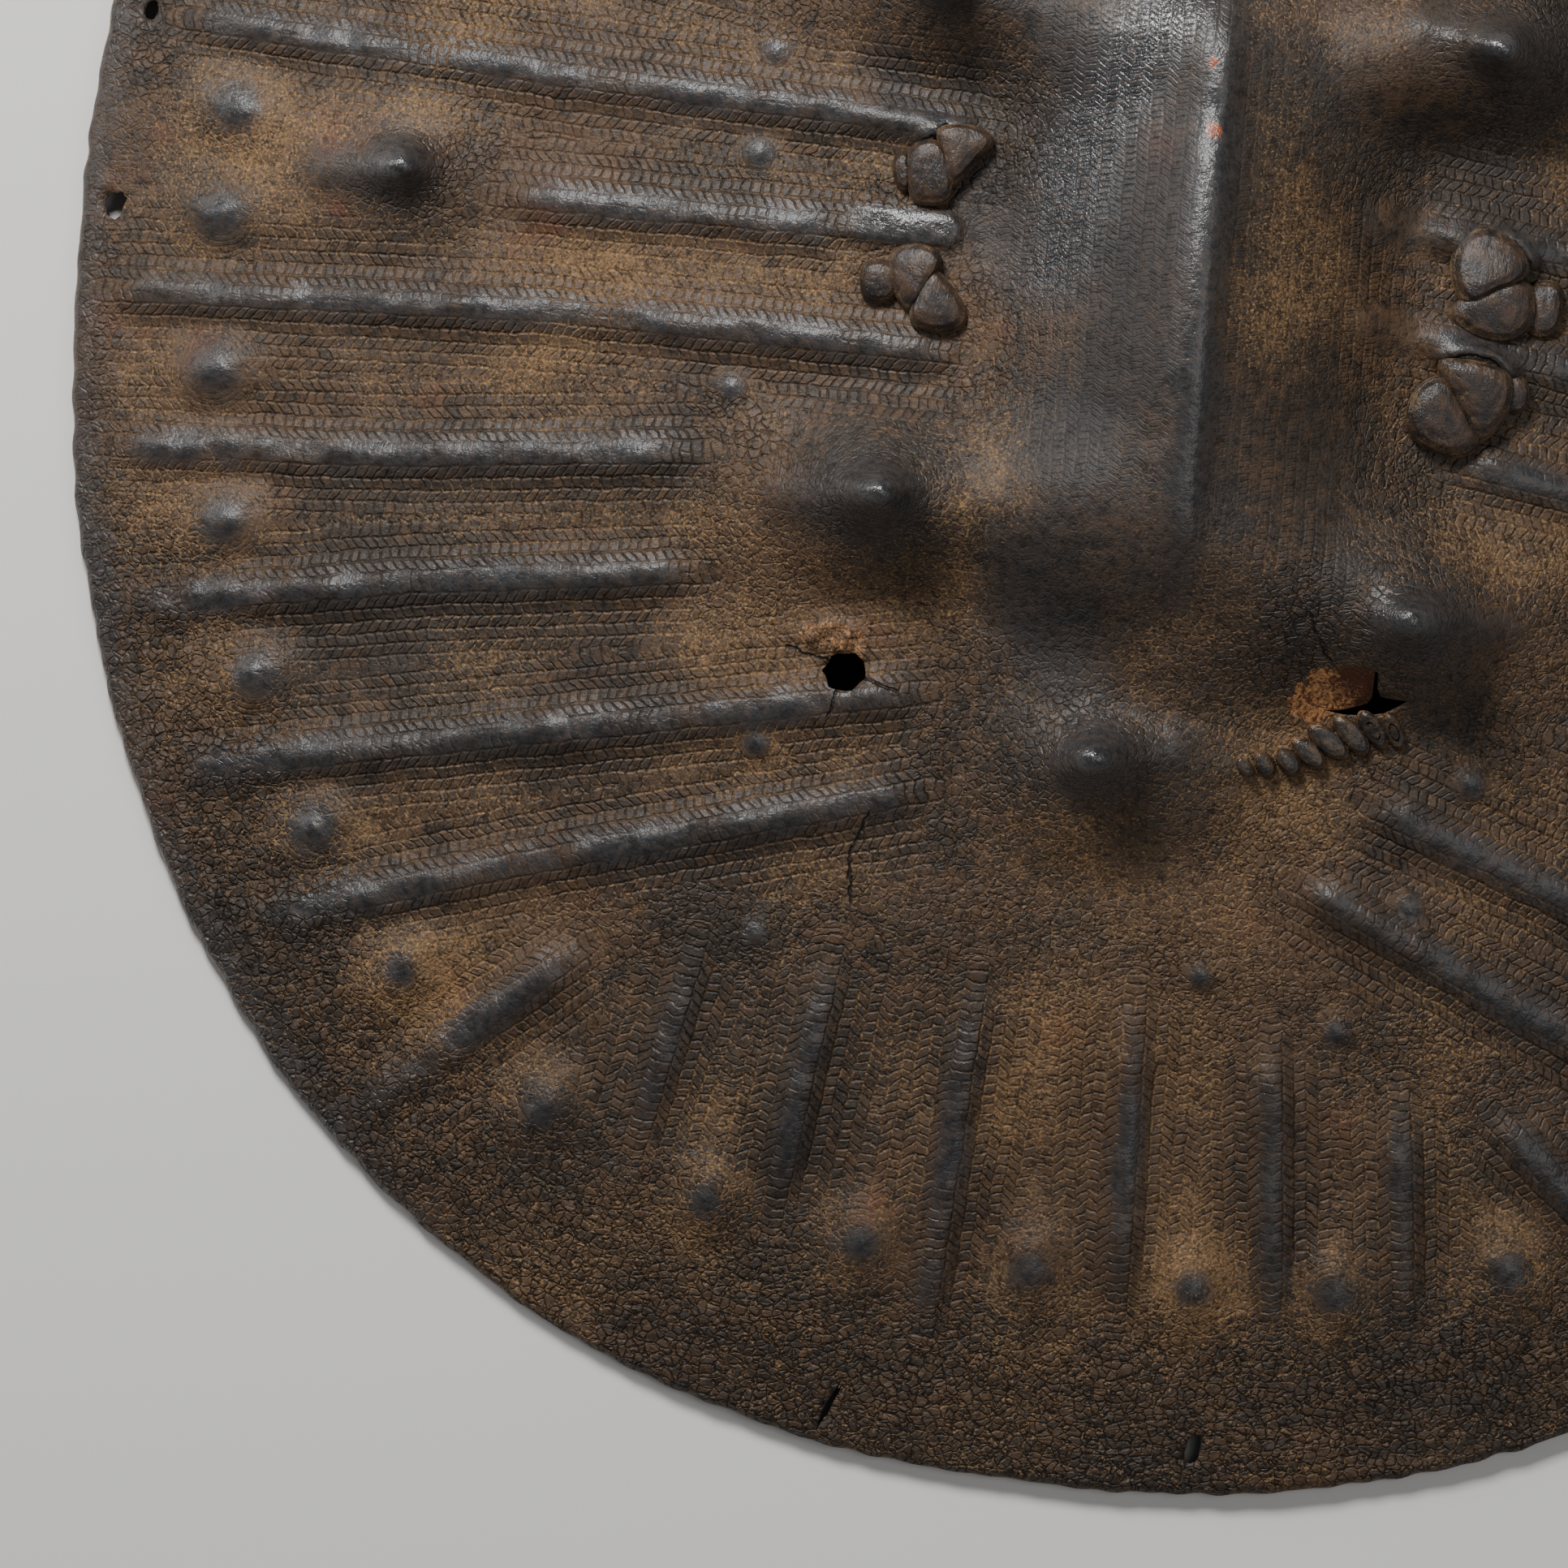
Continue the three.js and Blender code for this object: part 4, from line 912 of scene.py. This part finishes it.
# The upper right end of the torn patch is painted darker: partly the darker red-brown of its fibres, partly
# painted shade
dark_and_shaded_end = look.plus(split.outputs[0], look.times(split.outputs[1], 0.8))
dark_and_shaded_end = look.plus(dark_and_shaded_end, look.swing(at, 200, 0.008))
dark_and_shaded_end = look.step(dark_and_shaded_end, -0.0270, -0.0190)
fibres = look.plus(strands, look.times(dark_and_shaded_end, -0.22))
fibres = look.blend(look.step(fibres, 0.36, 0.64), FIBRE_DARK, FIBRE)
colour = look.blend(torn, colour, fibres)
scuffed = look.plus(look.kept("scuff"), look.swing(at, 600, 0.6))
scuffed = look.step(scuffed, 0.25, 0.5, 0.0, 0.85)
colour = look.blend(scuffed, colour, SCUFF)
colour = look.blend(split_line, colour, HIDE_SHADE_AND_CRACK)

# The hollow side is plain raw hide, pale and blotched
raw_hide = look.blend(look.noise(at, 45, 6, 0.7), paint(134, 110, 82), paint(78, 60, 44))
specks = look.step(look.noise(at, 900, 4, 0.7), 0.5, 0.8, 0.0, 0.5)
raw_hide = look.blend(specks, raw_hide, HIDE_BROWN)
front = look.step(look.kept("front"), 0.3, 0.7)
colour = look.blend(front, raw_hide, colour)
look.give("Base Color", colour)
gleam = look.plus(look.lerp(polished, 0.3, 0.5), look.times(look.kept("shine"), 0.45))
look.give("Specular IOR Level", gleam)
rough = look.lerp(polished, look.lerp(dust_share, 0.52, 0.85), look.lerp(dust_share, 0.36, 0.7))
rough = look.plus(rough, look.times(look.kept("shine"), -0.20))
rough = look.plus(rough, look.about(grain, 0.3), look.times(torn, 0.3))
look.give("Roughness", rough)
depth = look.times(height, tool_depth, 0.60)
streaks = look.noise(look.add("Mapping", {"Vector": at, "Scale": (1.0, 0.12, 1.0)}), 900, 3, 0.6)
depth = look.plus(depth, look.times(grit, look.lerp(worn, 0.24, 0.17)), look.times(grain, 0.30))
depth = look.plus(depth, look.times(streaks, look.kept("shine"), 0.35))
depth = look.minus(depth, look.times(split_line, 0.8))
depth = look.lerp(torn, depth, look.plus(-0.2, look.times(strands, 1.1)))
depth = look.lerp(front, look.times(grain, 0.5), depth)
look.bump(depth, 0.001)
finished.materials.clear()
finished.materials.append(look.material)
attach(hide, "root")
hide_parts("hide_shell")


# The grip thongs: two flat straps of the same hide across the hollow, each pushed up through its
# two slits and knotted in front. Each knot is a few folds of strap pressed over one another.
THONG_BEND = 0.006
THONG_CLEAR = 0.007
GRIP_DROP = 0.017
KNOT_SINK = 0.0015
FOLD_SINK = 0.0022
FOLD_FULLNESS = 1.14
FOLD_LIFT = 0.0014
MM = 0.001

# Each fold: its outline in mm from the slit, square to the picture; where it crests; its height;
# and how much it leans up to the right and up the picture
KNOTS = {
    ("upper", 0): [
        ([(-12.8, -4), (-11.1, -2.1), (-8.5, -1.7), (-8.3, -11.5), (-10.5, -11.6), (-12.2, -9.2)],
         (-10, -6), 3.2, 0, 0.1),
        ([(-1.3, 0.9), (-6.9, 0.2), (-8.8, -4), (-8.2, -8.6), (-7.6, -13.6), (-3, -14.4), (1.7, -13.6),
          (2.0, -9), (0.6, -2.7)], (-3, -4.5), 6.8, 0.05, 0.12),
        ([(-1.3, 3.2), (0.6, 4.5), (6.5, 4.8), (11.8, 2.2), (12.3, 0), (9.9, -2.4), (6.5, -6), (4.6, -8.6),
          (1.6, -10.3), (0.6, -8.6), (0.6, -4), (-0.4, 0)], (4.5, 0), 7.4, -0.12, 0.12),
    ],
    ("lower", 0): [
        ([(-15.1, 2.8), (-13.6, 4.7), (-6, 4.7), (-6, -5.1), (-12.9, -5.4), (-15.1, -3.7)],
         (-11, 0), 3.4, -0.1, 0.1),
        ([(-7.3, 6.7), (-3, 8.4), (1.5, 7.7), (4.5, 5.8), (4.2, 3.4), (1.3, -1.2), (-1.4, -5.8),
          (-2.7, -7.1), (-4.6, -5.1), (-6.9, -1.8), (-7.7, 2.8)], (-0.5, 2.5), 7.0, 0.16, 0.02),
        ([(3.2, 1.6), (4.2, 1.6), (7.4, -2.4), (10.4, -6.4), (10.8, -10.3), (8.8, -12.3), (4.2, -12.9),
          (-0.4, -11.9), (-2, -10.3), (-2, -7.1), (0.3, -2.4)], (2.4, -5), 6.8, -0.18, 0.05),
    ],
    ("upper", 1): [
        ([(5, -3.2), (12.8, -2.2), (15, -4.4), (14.7, -12), (12.2, -16.4), (5, -15.8)],
         (11.5, -8), 3.6, 0.18, 0),
        ([(-13, -10.4), (-10.5, -6.9), (-4.2, -3.8), (3.4, -1.3), (6.5, -4.4), (7.1, -8.8), (6.5, -12.6),
          (3.4, -15.8), (-0.4, -16.7), (-5.5, -16.1), (-10.5, -13.2)], (-1, -8), 7.0, 0.04, 0.1),
        ([(-12.7, 0.6), (-11.8, 6.3), (-8, 10.1), (-4.2, 11), (0.2, 9.1), (4, 5.7), (5.3, 2.5), (4.6, -0.6),
          (1.5, -2.5), (-2.9, -3.8), (-6.7, -6.3), (-9.6, -6.9), (-11.1, -4.4)], (-2.5, 1), 8.8, 0.1, -0.14),
    ],
    ("lower", 1): [
        ([(9, 5.2), (13.2, 5.9), (15.5, 3.4), (15.5, -1.3), (13.2, -3.9), (9, -3.3)],
         (12, 1), 3.8, 0.1, 0.05),
        ([(-15.4, -5.2), (-13.7, 0), (-10.5, 3.4), (-6.5, 4.6), (-3.9, 2), (-1.9, -2.5), (0.6, -7.1),
          (2.3, -10.5), (0, -13), (-4.6, -14.4), (-9.1, -12.4), (-13.7, -9.8)], (-7.5, -3), 7.4, -0.02, 0.1),
        ([(-6.5, 8.9), (-4.6, 9.3), (2, 8.9), (9.2, 6.6), (10.5, 3.4), (10.2, -1.9), (6.6, -7.1), (2, -10.5),
          (0, -6.5), (-2.6, -1.9), (-4.9, 2), (-6.5, 5.2)], (2.8, 3.5), 8.0, 0.08, 0.14),
    ],
}
# How a fold's outline is drawn in as it rises: share of the size, share of the height
FOLD_RISE = [(1.05, 0.25), (1.05, 0.50), (0.97, 0.72), (0.78, 0.90), (0.46, 0.98), (0.18, 1.0)]


def ground(x, y):
    return float(form(np.array([float(x)]), np.array([float(y)]))[0])


# A fold pressed on the hide: its outline raised ring by ring, drawn in toward its crest. It gives
# back how high each of its points stands, for the finish.
def add_fold(target, corners, crest, rise, place):
    fold = bmesh.new()
    face_at = fold.faces.new([fold.verts.new((cx, cy, 0)) for cx, cy in corners])
    levels = {vert: 0.0 for vert in fold.verts}
    share_before = 1.0
    for share, level in FOLD_RISE:
        made = bmesh.ops.extrude_face_region(fold, geom=[face_at])["geom"]
        face_at = next(g for g in made if isinstance(g, bmesh.types.BMFace))
        about = Matrix.Translation((-crest[0], -crest[1], 0))
        change = share / share_before
        bmesh.ops.scale(fold, verts=face_at.verts[:], vec=(change, change, 1), space=about)
        levels.update({vert: level for vert in face_at.verts})
        share_before = share
    for vert in fold.verts:
        flat_x, flat_y = vert.co.x, vert.co.y
        vert.co.x, vert.co.y = place(flat_x, flat_y)
        foot = ground(vert.co.x, vert.co.y) - FOLD_SINK
        vert.co.z = foot + levels[vert] * (FOLD_SINK + rise(flat_x, flat_y))
    face_out(fold)
    stands = [levels[vert] for vert in fold.verts]
    part = mesh_of(fold, "fold")
    target.from_mesh(part)
    bpy.data.meshes.remove(part)
    return stands


def store_stands(target, stands):
    attribute = target.attributes.new("stands", "FLOAT", "POINT")
    attribute.data.foreach_set("value", np.array(stands, np.float32))


def round_off(piece):
    rounding = piece.modifiers.new("rounding", "SUBSURF")
    rounding.levels = rounding.render_levels = 2


def smooth_route(points, count):
    points = np.array(points)
    chords = np.linalg.norm(np.diff(points, axis=0), axis=1)
    knots = np.concatenate([[0], np.cumsum(np.sqrt(chords))])
    slopes = np.gradient(points, knots, axis=0)
    t = np.linspace(0, knots[-1], count)
    i = np.clip(np.searchsorted(knots, t) - 1, 0, len(points) - 2)
    gap = (knots[i + 1] - knots[i])[:, None]
    s = ((t - knots[i]) / gap[:, 0])[:, None]
    start = (2 * s ** 3 - 3 * s ** 2 + 1) * points[i] + (s ** 3 - 2 * s ** 2 + s) * gap * slopes[i]
    return start + (3 * s ** 2 - 2 * s ** 3) * points[i + 1] + (s ** 3 - s ** 2) * gap * slopes[i + 1]


def strap_route(start, end):
    span = math.dist(start, end)
    ends_x, ends_y = np.array([start[0], end[0]]), np.array([start[1], end[1]])
    tops, low = form(ends_x, ends_y), hollow(ends_x, ends_y) - THONG_CLEAR
    grip = low.min() - GRIP_DROP
    corner, level = THONG_BEND * 0.35, THONG_BEND + 0.004
    return smooth_route([
        (0, tops[0] + KNOT_SINK), (0, low[0] + THONG_BEND), (corner, low[0] + corner),
        (level, low[0] - 0.0015), (span * 0.3, grip + GRIP_DROP / 5), (span * 0.5, grip),
        (span * 0.7, grip + GRIP_DROP / 5), (span - level, low[1] - 0.0015),
        (span - corner, low[1] + corner), (span, low[1] + THONG_BEND), (span, tops[1] + KNOT_SINK),
    ], STRAP_STATIONS)


STRAP_ACROSS = 6
STRAP_STATIONS = 96
STRAP_END_DRAW = 0.0018
STRAP_END_STATIONS = 12
thong = Finish("thong_hide")
at = thong.add("TexCoord", output="Object")
lengthwise = {"Vector": at, "Rotation": (0.0, 0.0, 0.5), "Scale": (1.0, 0.3, 1.0)}
streaks = thong.noise(thong.add("Mapping", lengthwise), 380, 4, 0.65)
smudge = thong.noise(at, 190, 4, 0.6)
grit = thong.noise(at, 1600, 4, 0.7)
skin = thong.blend(thong.step(smudge, 0.36, 0.62), paint(36, 31, 29), paint(66, 50, 38))
skin = thong.blend(thong.step(streaks, 0.48, 0.7, 0.0, 0.7), skin, paint(37, 35, 36))
thong_dust = thong.plus(thong.times(grit, 0.9), thong.times(thong.noise(at, 230, 3), 0.8))
thong_dust = thong.plus(thong_dust, thong.times(thong.kept("stands"), -0.5))
thong_dust = thong.step(thong_dust, 0.44, 0.72, 0.0, 0.85)
thong.give("Base Color", thong.blend(thong_dust, skin, paint(102, 80, 52)))
thong.give("Roughness", thong.plus(thong.lerp(thong_dust, 0.15, 0.8), thong.times(streaks, 0.2)))
wrinkles = thong.plus(thong.times(streaks, 0.6), thong.times(smudge, 0.7), thong.times(grit, 0.22))
thong.bump(wrinkles, 0.001)
turned = Matrix.Rotation(VIEW_TURN, 2)

for name, (start, end) in THONG_ENDS.items():
    route = strap_route(start, end)
    strap = bmesh.new()
    bmesh.ops.create_grid(strap, x_segments=len(route) - 1, y_segments=STRAP_ACROSS, size=1)
    tangent = np.gradient(route, axis=0)
    tangent /= np.linalg.norm(tangent, axis=1)[:, None]
    turn = math.atan2(end[1] - start[1], end[0] - start[0])
    for vert in strap.verts:
        station = round((vert.co.x + 1) / 2 * (len(route) - 1))
        ahead, climb = tangent[station]
        u, height = route[station] + THONG_THICK / 2 * np.array([-climb, ahead])
        drawn_in = STRAP_END_DRAW * max(0, 1 - min(station, len(route) - 1 - station) / STRAP_END_STATIONS)
        wide = vert.co.y * (THONG_HALF_WIDTH - drawn_in - 0.0004 * math.sin(0.7 * station) ** 2)
        vert.co = (start[0] + u * math.cos(turn) - wide * math.sin(turn),
                   start[1] + u * math.sin(turn) + wide * math.cos(turn), height)
    face_out(strap)
    bmesh.ops.solidify(strap, geom=strap.faces[:], thickness=THONG_THICK)
    face_out(strap)
    strap_stands = [0.5] * len(strap.verts)
    for end_index, slit in enumerate((start, end)):
        for corners, crest, tall, lean_right, lean_up in KNOTS[name, end_index]:
            middle = np.mean(corners, axis=0)
            corners = [tuple(middle + FOLD_FULLNESS * (np.array(corner) - middle)) for corner in corners]

            def place(flat_x, flat_y, slit=slit):
                return Vector(slit) + turned @ Vector((flat_x, flat_y)) * MM

            def rise(flat_x, flat_y, crest=crest, tall=tall, lean=(lean_right, lean_up)):
                leaning = (flat_x - crest[0]) * lean[0] + (flat_y - crest[1]) * lean[1]
                return FOLD_LIFT + (tall + leaning) * MM

            strap_stands += add_fold(strap, corners, crest, rise, place)
    thong_mesh = mesh_of(strap, name + "_thong")
    store_stands(thong_mesh, strap_stands)
    thong_mesh.shade_smooth()
    thong_mesh.materials.append(thong.material)
    piece = put(name + "_thong_and_knots", thong_mesh)
    round_off(piece)
    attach(piece, "root")
    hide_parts(name + "_grip_thong")


# The repair lacing: a thin strip of hide whipped in eight lashes round the closed part of the
# tear, in through the hide and out again. What shows of each lash is a polished slanting pad.
LASHES = [
    # where, half width, half length, slant
    ((0.0325, -0.1220), 0.0019, 0.0024, 0.10), ((0.0374, -0.1206), 0.0024, 0.0030, 0.05),
    ((0.0434, -0.1192), 0.0026, 0.0032, 0.15), ((0.0483, -0.1163), 0.0028, 0.0044, 0.50),
    ((0.0531, -0.1128), 0.0030, 0.0052, 0.62), ((0.0586, -0.1104), 0.0029, 0.0052, 0.50),
    ((0.0640, -0.1083), 0.0026, 0.0046, 0.35), ((0.0694, -0.1080), 0.0023, 0.0042, 0.15),
]
PAD = [(-0.75, 0.92), (-0.25, 1.0), (0.45, 0.7), (0.95, 0.05), (0.95, -0.6), (0.5, -1.0), (-0.1, -0.85),
       (-0.7, -0.35), (-1.0, 0.3)]
PAD_RISE = 0.0041
PAD_FULLNESS = 1.32
PAD_USUAL_HALF = 0.0028

lacing = bmesh.new()
lacing_stands = []
for (px, py), half_wide, half_long, slant in LASHES:
    swung = Matrix.Rotation(slant + VIEW_TURN, 2)

    def place(flat_x, flat_y, middle=(px, py), swung=swung):
        return Vector(middle) + swung @ Vector((flat_x, flat_y))

    corners = [(PAD_FULLNESS * cx * half_wide, PAD_FULLNESS * cy * half_long) for cx, cy in PAD]
    tall = PAD_RISE * half_wide / PAD_USUAL_HALF
    lacing_stands += add_fold(lacing, corners, (0, 0), lambda _x, _y, tall=tall: tall, place)
lacing_mesh = mesh_of(lacing, "lacing")
store_stands(lacing_mesh, lacing_stands)
lacing_mesh.shade_smooth()
laced = put("repair_lacing_whipped", lacing_mesh)
round_off(laced)
lace = Finish("lace_hide")
at = lace.add("TexCoord", output="Object")
scuff = lace.noise(at, 420, 4, 0.6)
grit = lace.noise(at, 1800, 4, 0.65)
lace_dust = lace.plus(lace.times(grit, 0.9), lace.times(lace.noise(at, 500, 2), 0.7))
lace_dust = lace.plus(lace_dust, lace.times(lace.kept("stands"), -0.6))
lace_dust = lace.step(lace_dust, 0.34, 0.6, 0.0, 0.85)
strip = lace.blend(lace.step(scuff, 0.4, 0.65), paint(40, 36, 33), paint(76, 61, 47))
lace.give("Base Color", lace.blend(lace_dust, strip, paint(140, 102, 64)))
lace.give("Roughness", lace.lerp(lace_dust, 0.2, 0.8))
lace.bump(lace.plus(lace.times(scuff, 0.45), lace.times(grit, 0.15)), 0.001)
lacing_mesh.materials.append(lace.material)
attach(laced, "root")
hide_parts("repair_lacing")


# The floor is a plain pale sheet, and the light is soft, from the upper left of the picture.
FLOOR_SIZE = 30
LIGHT_AIM = Vector((0, 0, 0.05))
sheet = bmesh.new()
bmesh.ops.create_grid(sheet, x_segments=1, y_segments=1, size=FLOOR_SIZE)
floor = put("floor", mesh_of(sheet, "floor"))
floor_paint = Finish("pale_floor")
floor_paint.give("Base Color", (0.62, 0.61, 0.59, 1))
floor_paint.give("Roughness", 0.9)
floor.data.materials.append(floor_paint.material)

world = bpy.data.worlds.new("studio")
world.use_nodes = True
sky = world.node_tree.nodes["Background"].inputs
sky["Color"].default_value = (0.82, 0.86, 0.92, 1)
sky["Strength"].default_value = 0.13
bpy.context.scene.world = world


def soft_light(name, place, power, size):
    data = bpy.data.lights.new(name, "AREA")
    data.energy = power
    data.size = size
    light = put(name, data)
    light.location = place
    light.rotation_euler = (LIGHT_AIM - Vector(place)).to_track_quat("-Z", "Y").to_euler()


soft_light("key", (-0.50, 0.72, 1.04), 27, 0.36)
soft_light("side", (-1.30, 0.28, 0.46), 4.5, 0.3)
soft_light("fill", (0.8, -0.3, 1.5), 8, 1.2)

low, high = cad_box
